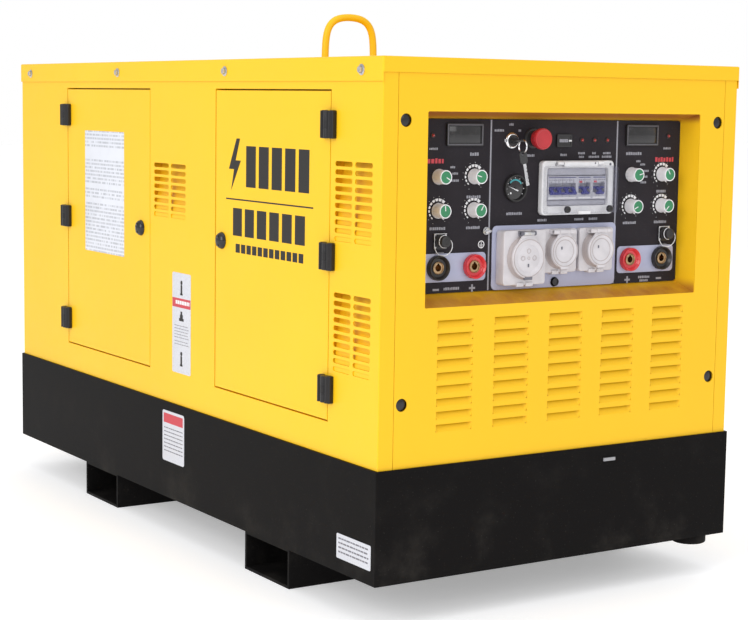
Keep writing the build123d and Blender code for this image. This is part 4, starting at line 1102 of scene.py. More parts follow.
class WELDER_OT_printing(bpy.types.Operator):
    """Prints the dials, dividers, symbols and stand-ins for captions on the control panel"""

    bl_idname = "welder.printing"
    bl_label = "Panel printing"

    def execute(self, context):
        x = PANEL_X
        marks = []
        for node in POINTERS:
            if node not in SELECTORS:
                marks += dial_marks(middle(node), x)
        finished(joined("dial_marks", *marks), "ink_white")

        top, foot = high("control_panel").z, low("control_panel").z
        dividers = []
        for y in (-152.5, 152.5):
            dividers.append(((x, y - 1.6, foot + 1), (x + INK_DEPTH, y + 1.6, top - 1)))
        finished(blocks("panel_dividers", dividers, "ink_grey"), None)

        words = plus_and_minus(x)
        captions = (
            (-190, 779, 7, 5.2), (-270, 722, 8, 5.2), (-190, 722, 8, 5.2), (190, 722, 8, 5.2),
            (270, 722, 8, 5.2), (270, 783, 6, 5.2), (-282, 868, 6, 4.2), (282, 868, 6, 4.2),
            (-190, 858, 4, 6.0), (196, 858, 8, 6.0), (-236, 610, 8, 5.2), (232, 613, 7, 4.8),
            (232, 606, 6, 4.4), (-134, 902, 6, 4.6), (-106, 913, 3, 4.6), (-86, 902, 2, 4.6),
            (-66, 855, 8, 4.6), (20, 856, 4, 4.6), (64, 859, 5, 4.2), (64, 852, 4, 4.2),
            (95, 859, 3, 4.2), (95, 852, 7, 4.2), (127, 859, 6, 4.2), (127, 852, 7, 4.2),
            (-95, 746, 9, 5.2), (-28, 732, 6, 4.6), (62, 732, 6, 4.6), (97, 732, 6, 4.6),
            (-264, 676, 6, 4.0), (280, 676, 6, 4.0),
        )
        for number, (y, z, letters, height) in enumerate(captions):
            words += word(x, y, z, letters, height, number)
        for node, turns in SELECTORS.items():
            centre = middle(node)
            for number, degrees in enumerate(turns):
                place = spot(centre, 27, degrees, x)
                words += word(x, place.y + 11, place.z, 3 + number % 3, 4.2, 50 + number)
        finished(blocks("panel_captions", words, "ink_grey"), None)
        names = word(x, -284, 846, 7, 9, 70) + word(x, 276, 846, 7, 9, 71)
        finished(blocks("unit_names", names, "ink_red"), None)
        finished(earth_symbol(x), "ink_white")
        return {"FINISHED"}


def earth_symbol(x):
    """White ring with a standing bar and three shortening bars inside it."""
    centre = Vector((x, -170, 690))
    disc = turned(
        "earth_symbol", ((0, 5.6), (0, 7.2), (INK_DEPTH, 7.2), (INK_DEPTH, 5.6), (0, 5.6)), centre,
    )
    bars = [((x, -170.6, 690), (x + INK_DEPTH, -169.4, 694.6))]
    for number, half in enumerate((4.0, 2.6, 1.2)):
        z = 689.2 - number * 1.9
        bars.append(((x, -170 - half, z - 0.5), (x + INK_DEPTH, -170 + half, z + 0.5)))
    return joined("earth_symbol", disc, blocks("earth_bars", bars, "ink_white"))


# ---- meters, gauge and lamps
METER_YS = (-214, 214)
METER_HALF = 41
METER_Z = (873, 914.5)
GAUGE = Vector((PANEL_X, -95, 794))
HOUR_METER = ((1, 37), (871, 895))
PILOT_LAMPS = ((64, 884), (95, 884), (127, 884))
WARNING_LAMPS = ((-284, 892.5), (284, 892.5))


def meter(name, y):
    """Digital meter: bevelled bezel, sunk dark window, and a dotted frame line."""
    low_z, high_z = METER_Z
    bezel = block(name, (PANEL_X, y - METER_HALF, low_z), (PANEL_X + 5, y + METER_HALF, high_z), 3)
    inset(bezel, facing((1, 0, 0)), 5, 1.6)
    rounded(bezel, 0.5, 2)
    painted(bezel, "instrument_black")
    glass = block("glass", (PANEL_X + 3.2, y - 35.4, low_z + 5.6), (PANEL_X + 3.9, y + 35.4, high_z - 5.6))
    painted(rounded(glass, 0.3, 2), "meter_glass")
    x = PANEL_X + 5
    dots = []
    for step in range(32):
        along = y - 38.6 + step * 2.49
        for z in (low_z + 2.6, high_z - 2.6):
            dots.append(((x, along - 0.85, z - 0.85), (x + 0.2, along + 0.85, z + 0.85)))
    for step in range(15):
        z = low_z + 5.1 + step * 2.24
        for side in (y - 38.6, y + 38.6):
            dots.append(((x, side - 0.85, z - 0.85), (x + 0.2, side + 0.85, z + 0.85)))
    return joined(name, bezel, glass, blocks("dots", dots, "ink_dim"))


def gauge():
    """Round fuel gauge: rolled bezel, face with a teal arc and ticks, and a needle on a hub."""
    bezel = turned(
        "fuel_gauge", ((0, 22), (0, 26), (4.5, 26), (6.4, 25.2), (7, 24), (6.4, 22.8), (3, 22.2),
        (2.2, 22), (0, 22)),
        GAUGE, steps=64,
    )
    painted(bezel, "instrument_black")
    face = turned("face", ((0.2, 0), (0.2, 22.4), (2.0, 22.4), (2.2, 21.8), (2.2, 0)), GAUGE, steps=64)
    painted(face, "meter_glass")
    x = PANEL_X + 2.2
    arc = [spot(GAUGE, 17.2, degrees, x) for degrees in range(142, 29, -8)]
    arc += [spot(GAUGE, 14.2, degrees, x) for degrees in range(30, 143, 8)]
    band = painted(slab("arc", arc, (0.25, 0, 0)), "ink_teal")
    marks = [wedge("mark", GAUGE, 18.6, 20.6, 215 - step * 31, 1.6, x, 1.0, 0.2) for step in range(9)]
    marks = [painted(mark, "ink_white") for mark in marks]
    tip, tail = spot(GAUGE, 17, 168, x + 0.9), spot(GAUGE, 8, -40, x + 0.9)
    across = (tip - tail).cross(Vector((1, 0, 0))).normalized()
    needle = slab("needle", (tip, tail - across * 1.3, tail + across * 1.3), (0.5, 0, 0))
    painted(needle, "ink_white")
    hub = turned(
        "hub", ((0, 0), (0, 2.4), (1.8, 2.2), (2.3, 1.2), (2.3, 0)), GAUGE + Vector((2.2, 0, 0)), steps=24,
    )
    painted(hub, "instrument_black")
    dot = turned("dot", ((0, 0), (0, 1.9), (0.3, 1.9), (0.3, 0)), spot(GAUGE, 14, 222, x), steps=20)
    return joined("fuel_gauge", bezel, face, band, *marks, needle, hub, painted(dot, "ink_white"))


def lamp(name, y, z, lens):
    """Panel lamp: a turned bezel with a domed lens."""
    seat = Vector((PANEL_X, y, z))
    bezel = turned(
        "bezel", ((0, 3), (0, 5), (1.4, 5), (2.1, 4.3), (2.1, 3.3), (0.8, 3), (0, 3)), seat, steps=32,
    )
    dome = turned("dome", ((0.2, 0), (0.2, 3), (2.2, 3), (3.8, 2.3), (4.7, 1.2), (5, 0)), seat, steps=32)
    return joined(name, painted(bezel, "instrument_black"), painted(dome, lens))


class WELDER_OT_instruments(bpy.types.Operator):
    """Models the two meters, the hour meter, the fuel gauge and the lamps"""

    bl_idname = "welder.instruments"
    bl_label = "Instruments"

    def execute(self, context):
        for unit, y in zip("ab", METER_YS):
            piece = meter(f"meter_{unit}", y)
            finished(piece, None, ROOT, ("panel_instruments",) if unit == "a" else ())
        finished(gauge(), None, ROOT)
        (y0, y1), (z0, z1) = HOUR_METER
        case = block("hour_meter", (PANEL_X, y0, z0), (PANEL_X + 4, y1, z1), 3)
        inset(case, facing((1, 0, 0)), 3, 1)
        painted(rounded(case, 0.4, 2), "instrument_black")
        wheels = [
            ((PANEL_X + 2.9, y0 + 6 + 4.2 * n, z0 + 9),
            (PANEL_X + 3.6, y0 + 9.4 + 4.2 * n, z1 - 9)) for n in range(5)
        ]
        screws = [turned("screw", ((0, 0), (0, 2), (0.8, 1.7), (1.1, 0)), (PANEL_X + 3.6, y, 883), steps=20)
                  for y in (31, 34.6)]
        screws = [painted(screw, "ink_white") for screw in screws]
        piece = joined("hour_meter", case, blocks("wheels", wheels, "ink_grey"), *screws)
        finished(piece, None, ROOT)
        for number, (y, z) in enumerate((*PILOT_LAMPS, *WARNING_LAMPS)):
            finished(lamp(f"lamp_{number + 1}", y, z, "lamp_red"), None, ROOT)
        return {"FINISHED"}


# ---- weld outputs and mounting plates
def on_grip(seat):
    """A test for the faces round a weld output's collar, above and below its insert."""
    def test(face):
        centre = face.calc_center_median() / MM - seat
        return abs(face.normal.x) < 0.1 and centre.x > 4 and centre.yz.length > 22.5 and abs(centre.z) > 20
    return test


class WELDER_OT_weld_outputs(bpy.types.Operator):
    """Models the black and red insulated bodies round the brass weld contacts"""

    bl_idname = "welder.weld_outputs"
    bl_label = "Weld outputs"

    def execute(self, context):
        outline = (
            (0, 10.3), (0, 22.2), (0.8, 23), (9.8, 23), (11.2, 22.7), (12, 22), (12, 21.2), (11.4, 20.4),
            (5.6, 18.2), (4.4, 17.2), (4.0, 10.3), (0, 10.3),
        )
        stands_for = ("weld_sockets",)
        for unit in "ab":
            for pole, material in (("negative", "socket_insulation"), ("positive", "socket_red")):
                name = f"weld_output_{unit}_{pole}"
                place = mount_point(name)
                seat = Vector((PLATE_X, place.y, place.z))
                collar = turned(name, outline, seat, steps=64)
                inset(collar, on_grip(seat), 0.4, 0.5)
                painted(smoothed(collar, 35), material)
                lips = (
                    (3.8, 10.2), (6.4, 10.2), (7.0, 10.9), (6.4, 11.8), (4.6, 12.0), (3.8, 11.4),
                    (3.8, 10.2),
                )
                insert = painted(smoothed(turned("insert", lips, seat, steps=48), 35), "contact_brass")
                finished(joined(name, collar, insert), None, ROOT, stands_for)
                stands_for = ()
        return {"FINISHED"}


def plate(name, y0, y1, z0, z1, radius):
    """A plate with round corners; its callers break its edges and paint it."""
    return block(name, (PANEL_X, y0, z0), (PLATE_X, y1, z1), radius)


class WELDER_OT_plates(bpy.types.Operator):
    """Models the blue-grey mounting plates, the thumb screw and the earth stud"""

    bl_idname = "welder.plates"
    bl_label = "Mounting plates"

    def execute(self, context):
        lower = low("panel_plates")
        upper = high("panel_plates")
        main = plate("socket_plate", -146, 154, lower.z, upper.z, 10)
        finished(rounded(main, 0.5, 2), "plate_grey", ROOT, ("panel_plates",))
        for unit, side in (("a", -1), ("b", 1)):
            y0, y1 = sorted((side * 160, side * upper.y))
            piece = plate(f"output_plate_{unit}", y0, y1, 623, 676, 8)
            for pole in ("negative", "positive"):
                place = mount_point(f"weld_output_{unit}_{pole}")
                cut(piece, rod("drill", (PANEL_X - 1, place.y, place.z), 11, 4))
            finished(rounded(piece, 0.5, 2), "plate_grey", ROOT)
        finished(thumb_screw(Vector((PLATE_X, 4, 613))), None, ROOT)
        finished(earth_stud(Vector((PANEL_X, -159, 715))), None, ROOT)
        return {"FINISHED"}


def thumb_screw(seat):
    """Black knurled thumb screw with a dished head."""
    head = rod("thumb_screw", seat, 7.5, 5, sides=60)

    def grooves(face):
        return abs(face.normal.x) < 0.5 and facet(face.calc_center_median() / MM - seat, 60) % 2
    pick(head, grooves)
    bpy.ops.mesh.extrude_region_shrink_fatten(TRANSFORM_OT_shrink_fatten={"value": -0.4 * MM})
    done(head)
    inset(head, facing((1, 0, 0)), 2.2, 1.2)
    return painted(smoothed(head, 30), "instrument_black")


def earth_stud(seat):
    """Earth stud: a threaded end, a wing nut and a washer."""
    washer = turned("earth_stud", ((0, 3), (0, 7.2), (1, 7.4), (1.4, 7), (1.4, 3), (0, 3)), seat, steps=32)
    thread = []
    for turn in range(9):
        along = 5.5 + turn * 0.95
        thread += [(along, 3.0), (along + 0.45, 2.5)]
    stud = turned("stud", ((0, 0), (0, 2.6), (5, 2.6), *thread, (14, 2.2), (14, 0)), seat, steps=24)
    nut = rod("nut", seat + Vector((1.4, 0, 0)), 6.2, 4.4, sides=6)
    wings = [
        block("wing", seat + Vector((2, side * 4, -1.2)),
        seat + Vector((5.4, side * 10, 1.2))) for side in (-1, 1)
    ]
    parts = [rounded(part, 0.5, 2) for part in (nut, *wings)]
    return joined("earth_stud", *[painted(part, "zinc_steel") for part in (washer, stud, *parts)])


# ---- stop button and key switch
STOP = middle("emergency_button")
KEY = joint_point("ignition_key_turn")


class WELDER_OT_stop_button(bpy.types.Operator):
    """Models the red mushroom head of the emergency stop"""

    bl_idname = "welder.stop_button"
    bl_label = "Emergency stop"

    def execute(self, context):
        seat = Vector((PANEL_X, STOP.y, STOP.z))
        outline = (
            (-24, 0), (-24, 4.7), (15.6, 4.7), (15.6, 12), (16.4, 15.5), (18, 17.2), (25, 18.4),
            (27.5, 19.8),
            (33.5, 20), (35.8, 19.2), (37, 17.4), (36.6, 16.2), (35.9, 15.4), (36.1, 12), (36.2, 0),
        )
        head = smoothed(turned("emergency_button_head", outline, seat, steps=72), 35)
        finished(head, "stop_red", "emergency_button", ("emergency_button",))
        collar = turned(
            "stop_collar", ((0, 15.1), (0, 19), (3, 19), (4.4, 18), (4.8, 15.1), (0, 15.1)), seat, steps=48,
        )
        finished(smoothed(collar), "switch_plastic", ROOT)
        return {"FINISHED"}


def key_blade(name, top, length, width=7.0, thickness=1.8):
    """Flat key blade that hangs from its top, grooved on both faces and notched down one edge."""
    blade = block(
        name, top - Vector((thickness / 2, width / 2, length)), top + Vector((thickness / 2, width / 2, 0)),
    )
    inset(blade, lambda face: abs(face.normal.x) > 0.9, 2.2, 0.35)
    notches = []
    for step, depth in enumerate((1.2, 2.0, 0.9, 1.8, 1.4)):
        z = top.z - length * (0.22 + 0.15 * step)
        y = top.y + width / 2
        profile = (
            (top.x - 3, y - depth, z), (top.x - 3, y + 2, z - depth - 2), (top.x - 3, y + 2, z + depth + 2),
        )
        notches.append(slab("notch", profile, (6, 0, 0)))
    cut(blade, *notches)
    return painted(rounded(blade, 0.15, 2), "key_steel")


def key_head(name, centre, width, height, thickness, axis):
    """Key head: a block with rounded corners; its callers cut the ring hole and paint it black."""
    size = {"X": (thickness, width, height), "Z": (height, width, thickness)}[axis]
    half = Vector(size) / 2
    head = block(name, centre - half, centre + half, width * 0.35, axis, 8)
    return head


class WELDER_OT_key(bpy.types.Operator):
    """Models the switch nut, the key in it, its ring and the spare key that hangs from the ring"""

    bl_idname = "welder.key"
    bl_label = "Ignition key"

    def execute(self, context):
        seat = Vector((PANEL_X, KEY.y, KEY.z))
        nut = turned(
            "key_switch_nut", ((0, 11.2), (0, 15.6), (3.6, 15.6), (5, 14.8), (6.4, 13), (6.8, 11.8),
            (6.4, 11.2), (0, 11.2)),
            seat, steps=64,
        )
        for side in (-1, 1):
            flat = seat + Vector((5, side * 15.4, 0))
            cut(nut, block("flat", flat - Vector((4, 1.6, 3)), flat + Vector((4, 1.6, 3))))
        finished(smoothed(nut, 35), "chrome", ROOT)

        shank = rod("ignition_key_shank", seat - Vector((18, 0, 0)), 6, 32, sides=40)
        inset(shank, facing((1, 0, 0)), 1.2, 0.6)
        painted(rounded(shank, 0.5, 2), "switch_plastic")
        bow_centre = seat + Vector((24, 0, 0))
        bow = key_head("bow", bow_centre, 24, 24, 3.6, "Z")
        hole = rod("hole", bow_centre + Vector((5.6, 0, -4)), 2.4, 8, "Z", 24)
        cut(bow, hole)
        painted(rounded(bow, 0.8, 3), "switch_plastic")
        ring_centre = bow_centre + Vector((12.6, 0, -10))
        loops = [ring("loop", ring_centre + Vector((0, shift, 0)), 12, 0.75, "Y") for shift in (-0.8, 0.8)]
        loops = [painted(loop, "chrome") for loop in loops]
        hang = ring_centre - Vector((0, 0, 12))
        spare = key_head("spare", hang - Vector((0, 0, 9)), 17, 24, 2.8, "X")
        cut(spare, rod("hole", hang - Vector((4, 0, 1.6)), 3.0, 8, "X", 24))
        painted(rounded(spare, 0.7, 3), "switch_plastic")
        blade = key_blade("spare_blade", hang - Vector((0, 0, 20)), 42)
        key = joined("ignition_key_and_ring", shank, bow, *loops)
        lean = Matrix.Rotation(math.radians(13), 4, "X")
        hanging = moved(joined("spare_key", spare, blade), turn=lean, about=hang)
        finished(
            joined("ignition_key_set", key, hanging), None, "ignition_key", ("ignition_key",),
        )
        return {"FINISHED"}


# ---- breaker box
BOX_LOW, BOX_HIGH = low("breaker_box"), high("breaker_box")
WINDOW_LOW, WINDOW_HIGH = low("breaker_window"), high("breaker_window")
WINDOW_PIVOT = joint_point("breaker_window_lift")
LEVER_PIVOT = joint_point("breaker_lever_1_toggle")
BREAKER_FRONT = high("breakers").x
MODULE = 18.0
BREAKERS = ((-23.5, 4), (48.5, 2), (84.5, 2))


class WELDER_OT_breaker_box(bpy.types.Operator):
    """Models the frame of the breaker box, its hinge lugs, pin and screws"""

    bl_idname = "welder.breaker_box"
    bl_label = "Breaker box"

    def execute(self, context):
        front = PANEL_X + 12
        frame_piece = block(
            "breaker_frame", (PANEL_X, BOX_LOW.y, BOX_LOW.z), (front, BOX_HIGH.y, BOX_HIGH.z), 8,
        )
        y0, y1 = BREAKERS[0][0] - 3, BREAKERS[-1][0] + 2 * MODULE + 3
        opening = block("opening", (PANEL_X - 2, y0, 759), (front + 2, y1, 831), 4)
        cut(frame_piece, opening)
        strips = []
        for z0, z1 in ((759.5, 769.3), (816.7, 830.5)):
            strip = block("strip", (PANEL_X, y0 + 0.5, z0), (PANEL_X + 4, y1 - 0.5, z1))
            strips.append(painted(rounded(strip, 0.5, 2), "breaker_case"))
        painted(rounded(frame_piece, 1.4, 3), "breaker_frame")
        parts = [frame_piece, *strips]
        mid = WINDOW_PIVOT.y
        for side in (-1, 1):
            start, stop = sorted((mid + side * 42, mid + side * 56))
            lug = rod("lug", (WINDOW_PIVOT.x, start, WINDOW_PIVOT.z), 4, stop - start, "Y", 32)
            web = block(
                "web", (PANEL_X + 2, start, WINDOW_PIVOT.z - 4), (WINDOW_PIVOT.x, stop, WINDOW_PIVOT.z + 4),
            )
            parts += [painted(rounded(piece, 0.7, 2), "breaker_frame") for piece in (lug, web)]
            y = BOX_LOW.y + 33 if side < 0 else BOX_HIGH.y - 9
            cap = turned(
                "screw", ((0, 0), (0, 2.6), (0.7, 2.3), (0.9, 1.4), (0.4, 1.0), (0.4, 0)), (front, y, 838),
                steps=20,
            )
            parts.append(painted(cap, "breaker_slot"))
        pin = rod("pin", (WINDOW_PIVOT.x, mid - 44, WINDOW_PIVOT.z), 1.4, 88, "Y", 20)
        parts.append(painted(rounded(pin, 0.2, 2), "zinc_steel"))
        finished(joined("breaker_frame", *parts), None, ROOT, ("breaker_box",))
        return {"FINISHED"}


class WELDER_OT_breaker_window(bpy.types.Operator):
    """Models the smoky window with its hinge bar, its two catches and its tab"""

    bl_idname = "welder.breaker_window"
    bl_label = "Breaker window"

    def execute(self, context):
        back, front = WINDOW_LOW.x, WINDOW_LOW.x + 17
        top = WINDOW_PIVOT.z - 4.6
        pane = block("pane", (back, WINDOW_LOW.y, WINDOW_LOW.z), (front, WINDOW_HIGH.y, top), 7)
        wall = 2.2
        hollow = block(
            "hollow", (back - 2, WINDOW_LOW.y + wall, WINDOW_LOW.z + wall),
            (front - wall, WINDOW_HIGH.y - wall, top - wall), 5,
        )
        cut(pane, hollow)
        rounded(pane, 1.2, 3)
        painted(pane, "smoky_window")
        y0, y1 = WINDOW_PIVOT.y - 41, WINDOW_PIVOT.y + 41
        bar = rod("bar", (WINDOW_PIVOT.x, y0, WINDOW_PIVOT.z), 3.7, y1 - y0, "Y", 32)
        web = block(
            "web", (WINDOW_PIVOT.x - 1.5, y0, top - 2), (WINDOW_PIVOT.x + 3.4, y1, WINDOW_PIVOT.z + 1),
        )
        cut(bar, rod("bore", (WINDOW_PIVOT.x, y0 - 1, WINDOW_PIVOT.z), 1.8, y1 - y0 + 2, "Y", 20))
        cut(web, rod("bore", (WINDOW_PIVOT.x, y0 - 1, WINDOW_PIVOT.z), 1.8, y1 - y0 + 2, "Y", 20))
        parts = [painted(rounded(piece, 0.3, 2), "breaker_frame") for piece in (bar, web)]
        dot = turned(
            "dot", ((0, 0), (0, 1.9), (0.5, 1.6), (0.6, 0)),
            (WINDOW_PIVOT.x + 3.3, y1 - 7, WINDOW_PIVOT.z), steps=20,
        )
        parts.append(painted(dot, "breaker_slot"))
        for y in (11, 115):
            catch = turned(
                "catch", ((-4, 0), (-4, 6.6), (0.6, 6.6), (1.6, 5.8), (1.9, 4.6), (1.2, 4.0), (1.2, 0)),
                (front, y, 753), steps=40,
            )
            slot = block("slot", (front + 0.2, y - 4, 752.2), (front + 3, y + 4, 753.8))
            cut(catch, slot)
            parts.append(painted(catch, "instrument_black"))
        tab_low, tab_high = 34.5, 62.5
        tab = block("tab", (front - 1, tab_low, WINDOW_LOW.z), (WINDOW_HIGH.x, tab_high, WINDOW_LOW.z + 6))
        inset(tab, facing((1, 0, 0)), 1.2, 0.8)
        parts.append(painted(rounded(tab, 0.6, 2), "breaker_frame"))
        piece = joined("breaker_window_cover", pane, *parts)
        finished(piece, None, "breaker_window", ("breaker_window",))
        return {"FINISHED"}


def breaker_prints():
    """Pole divisions, blue lines, white bars, red marks, and dark dots and letters on the noses of the breakers.
    """
    x = BREAKER_FRONT
    dark, blue, white, red = [], [], [], []
    for start, poles in BREAKERS:
        width = poles * MODULE
        for pole in range(1, poles):
            y = start + pole * MODULE
            dark.append(((x, y - 0.35, 771.5), (x + 0.15, y + 0.35, 814.5)))
        blue.append(((x, start + 3, 812.2), (x + 0.2, start + width - 3, 813.8)))
        for letter in range(poles * 3):
            y = start + 4 + letter * 5.2
            dark.append(((x, y, 807.4), (x + 0.15, y + 2.8, 809.0)))
        white.append(((x, start + 3, 772.6), (x + 0.2, start + width - 3, 775.6)))
    for pole in range(4):
        y = -23.5 + (pole + 0.5) * MODULE
        dark.append(((x, y - 1.1, 803.4), (x + 0.3, y + 1.1, 805.6)))
    for start, _ in BREAKERS[1:]:
        red.append(((x, start + 5, 802.8), (x + 0.5, start + 12, 806.6)))
        dark.append(((x, start + 21, 803.2), (x + 0.3, start + 31, 804.4)))
    return [
        blocks("breaker_dark_marks", dark, "ink_dim"), blocks("breaker_blue_marks", blue, "ink_blue"),
        blocks("breaker_white_marks", white, "ink_white"), blocks("breaker_red_marks", red, "ink_red"),
    ]


def lever_arm(y, width):
    """A curled arm of a breaker lever, drawn pointing out along X and swept along Y."""
    profile = [
        (0, -3.2), (4, -3.4), (8, -2.6), (11, -3.2), (14.6, -4.6), (15, -2.6), (13.6, 0.6), (10, 2.2),
        (5, 3.2), (0, 3.2),
    ]
    points = [Vector((x, y - width / 2, z)) for x, z in profile]
    return rounded(slab("arm", points, (0, width, 0)), 0.5, 2, 50)


class WELDER_OT_breakers(bpy.types.Operator):
    """Prints the breakers and models their blue levers, ganged by tie bars"""

    bl_idname = "welder.breakers"
    bl_label = "Breakers"

    def execute(self, context):
        finished(joined("breaker_prints", *breaker_prints()), None, ROOT)
        rest = Matrix.Rotation(math.radians(40), 4, "Y")
        for number, (start, poles) in enumerate(BREAKERS, 1):
            stop = start + poles * MODULE
            hub = rounded(rod("hub", (0, start + 3.6, 0), 2.4, stop - start - 7.2, "Y", 32), 0.3, 2)
            pin = rod("trunnion", (0, start + 1.6, 0), 1.4, stop - start - 3.2, "Y", 20)
            if poles > 2:
                places, width, spare = [start + (pole + 0.5) * MODULE for pole in range(poles)], 6.4, 3.8
            else:
                places, width, spare = [(start + stop) / 2], 9, 8.5
            arms = [lever_arm(y, width) for y in places]
            foot = block("foot", (10.6, start + spare, -4.6), (14.8, stop - spare, -0.4))
            node = f"breaker_lever_{number}"
            lever = joined(f"{node}_toggle_arm", hub, pin, *arms, rounded(foot, 0.8, 2))
            moved(lever, (LEVER_PIVOT.x, 0, LEVER_PIVOT.z), rest)
            finished(lever, "lever_blue", node, (node,))
        return {"FINISHED"}


# ---- power outlets
# centre across and up, half width, half height, how far the body stands out, and the lid's radius
OUTLETS = (
    (-87.5, 664.5, 49.5, 51.5, 32.0, 38.0),
    (5.0, 674.0, 42.0, 42.0, 24.0, 32.0),
    (95.0, 674.0, 42.0, 42.0, 24.0, 32.0),
)
HINGE_HALF = 12.0


def outlet_body(number, y, z, half_y, half_z, proud, lid_radius):
    """Housing with a stepped front, a collar round the well, hinge lugs with a pin and catch lugs."""
    step = proud - 7 if number == 1 else proud - 11
    base = block(
        f"outlet_body_{number}", (PLATE_X, y - half_y, z - half_z),
        (PLATE_X + step, y + half_y, z + half_z), 6,
    )
    painted(rounded(base, 1.8, 3), "outlet_grey")
    seat = Vector((PLATE_X, y, z))
    collar = turned(
        "collar", ((step - 3, 20), (step - 3, lid_radius + 3.5), (step + 1.2, lid_radius + 3.5),
        (step + 2.4, lid_radius + 1.6),
                   (proud - 1.2, lid_radius - 1), (proud, lid_radius - 2.4), (proud, 21), (proud - 4, 20),
                   (step - 3, 20)),
        seat, steps=72,
    )
    # the collar in the darker grey: painted shade round the outlet's rim
    painted(smoothed(collar, 35), "outlet_edge")
    parts = [base, collar]
    hinge = joint_point(f"outlet_cover_{number}_lift")
    for side in (-1, 1):
        start, stop = sorted(
            (y + side * (HINGE_HALF + 0.5), y + side * (HINGE_HALF + (5 if number == 1 else 14)))
        )
        lug = rod("lug", (hinge.x, start, hinge.z), 4.4, stop - start, "Y", 32)
        web = block("web", (PLATE_X + 2, start, hinge.z - 4.4), (hinge.x, stop, hinge.z + 4.4))
        lug_finish = "breaker_slot" if number == 1 else "outlet_grey"
        parts += [painted(rounded(piece, 0.8, 2), lug_finish) for piece in (lug, web)]
        start, stop = sorted((y + side * 2.5, y + side * 19))
        catch = block(
            "catch", (PLATE_X + 1, start, z - half_z - 3), (PLATE_X + step + 2.5, stop, z - half_z + 5),
        )
        parts.append(painted(rounded(catch, 1.2, 3), "outlet_grey"))
    pin = rod("pin", (hinge.x, y - HINGE_HALF - 3, hinge.z), 1.4, 2 * HINGE_HALF + 6, "Y", 20)
    parts.append(painted(rounded(pin, 0.2, 2), "zinc_steel"))
    well = turned(
        "well", ((step - 3, 0), (step - 3, 20.6), (step - 2, 20.6), (step - 2, 0)), seat, steps=48,
    )
    for turn in range(90, 450, 120):
        hole = spot(seat, 12, turn, PLATE_X + step - 2.6)
        cut(well, rod("hole", hole, 2.8, 4))
    # the well in the darker grey: painted shade in the hollow under the lid
    parts.append(painted(well, "outlet_edge"))
    return joined(base.name, *parts)


def outlet_lid(number, y, z, proud, radius):
    """Lid with a rolled rim, a sunk disc, a shoulder up to its knuckle and a thumb lip."""
    hinge = joint_point(f"outlet_cover_{number}_lift")
    back = PLATE_X + proud + 0.4
    seat = Vector((back, y, z))
    inner = radius * 0.68
    disc = turned(
        f"outlet_lid_{number}", ((0, 0), (0, radius - 0.8), (0.8, radius), (4.2, radius), (5.6, radius - 1),
                                 (6, radius - 2.6), (5.6, radius - 5), (4.6, inner + 1.6), (4.0, inner),
                                 (4.6, inner - 1.4), (5.0, 0)),
        seat, steps=80,
    )
    painted(smoothed(disc, 35), "outlet_grey")
    front = back + 3.4
    shoulder = (
        (back, y - HINGE_HALF, hinge.z - 1), (back, y - radius * 0.97, z + radius * 0.28),
        (back, y + radius * 0.97, z + radius * 0.28), (back, y + HINGE_HALF, hinge.z - 1),
    )
    tab = painted(rounded(slab("shoulder", shoulder, (front - back, 0, 0)), 0.7, 2), "outlet_grey")
    knuckle = rod("knuckle", (hinge.x, y - HINGE_HALF, hinge.z), 4.4, 2 * HINGE_HALF, "Y", 40)
    cut(knuckle, rod("bore", (hinge.x, y - HINGE_HALF - 1, hinge.z), 1.8, 2 * HINGE_HALF + 2, "Y", 20))
    painted(rounded(knuckle, 0.4, 2), "zinc_steel" if number == 1 else "outlet_grey")
    lip = block("lip", (back, y - 9, z - radius - 3), (back + 6.4, y + 9, z - radius + 4))
    painted(rounded(lip, 1.4, 3), "breaker_slot" if number == 1 else "outlet_grey")
    # a thin dark ring inside the lid's rim: painted shade of a groove
    line = painted(ring("rim_shade_line", Vector((back + 5.7, y, z)), radius - 3.0, 0.9, steps=72), "outlet_edge")
    parts = [disc, tab, knuckle, lip, line]
    face = back + 5.0
    if number == 1:
        for turn in (90, 180, 0):
            parts.append(ring("mark", spot(seat, 13.5, turn, face), 4.2, 0.55, steps=32))
        parts.append(ring("mark", Vector((face, y, z)), 2.6, 0.5, steps=24))
        # a thin dark plate stands for the slot in the lid: painted shade
        slot = block("slot", (face, y - 2.2, z - 17), (face + 0.3, y + 1.2, z - 10.5))
        # the ring marks in the darker grey: painted shade round them
        parts[-4:] = [painted(part, "outlet_edge") for part in parts[-4:]]
        parts.append(painted(slot, "breaker_slot"))
    else:
        # a thin dark plate stands for the slot in the lid: painted shade
        slot = block("slot", (face, y - 9.5, z + 3.5), (face + 0.3, y - 6.2, z + 9))
        parts.append(painted(slot, "breaker_slot"))
        # a dark ring round the sunk disc: painted shade of its groove
        parts.append(
            painted(ring("groove", Vector((back + 4.1, y, z)), inner, 0.7, steps=64), "outlet_edge")
        )
    return joined(disc.name, *parts)


class WELDER_OT_outlets(bpy.types.Operator):
    """Models the three power outlets and their sprung lids"""

    bl_idname = "welder.outlets"
    bl_label = "Power outlets"

    def execute(self, context):
        for number, (y, z, half_y, half_z, proud, radius) in enumerate(OUTLETS, 1):
            body = outlet_body(number, y, z, half_y, half_z, proud, radius)
            finished(body, None, ROOT, ("outlet_bodies",) if number == 1 else ())
            node = f"outlet_cover_{number}"
            finished(outlet_lid(number, y, z, proud, radius), None, node, (node,))
        return {"FINISHED"}


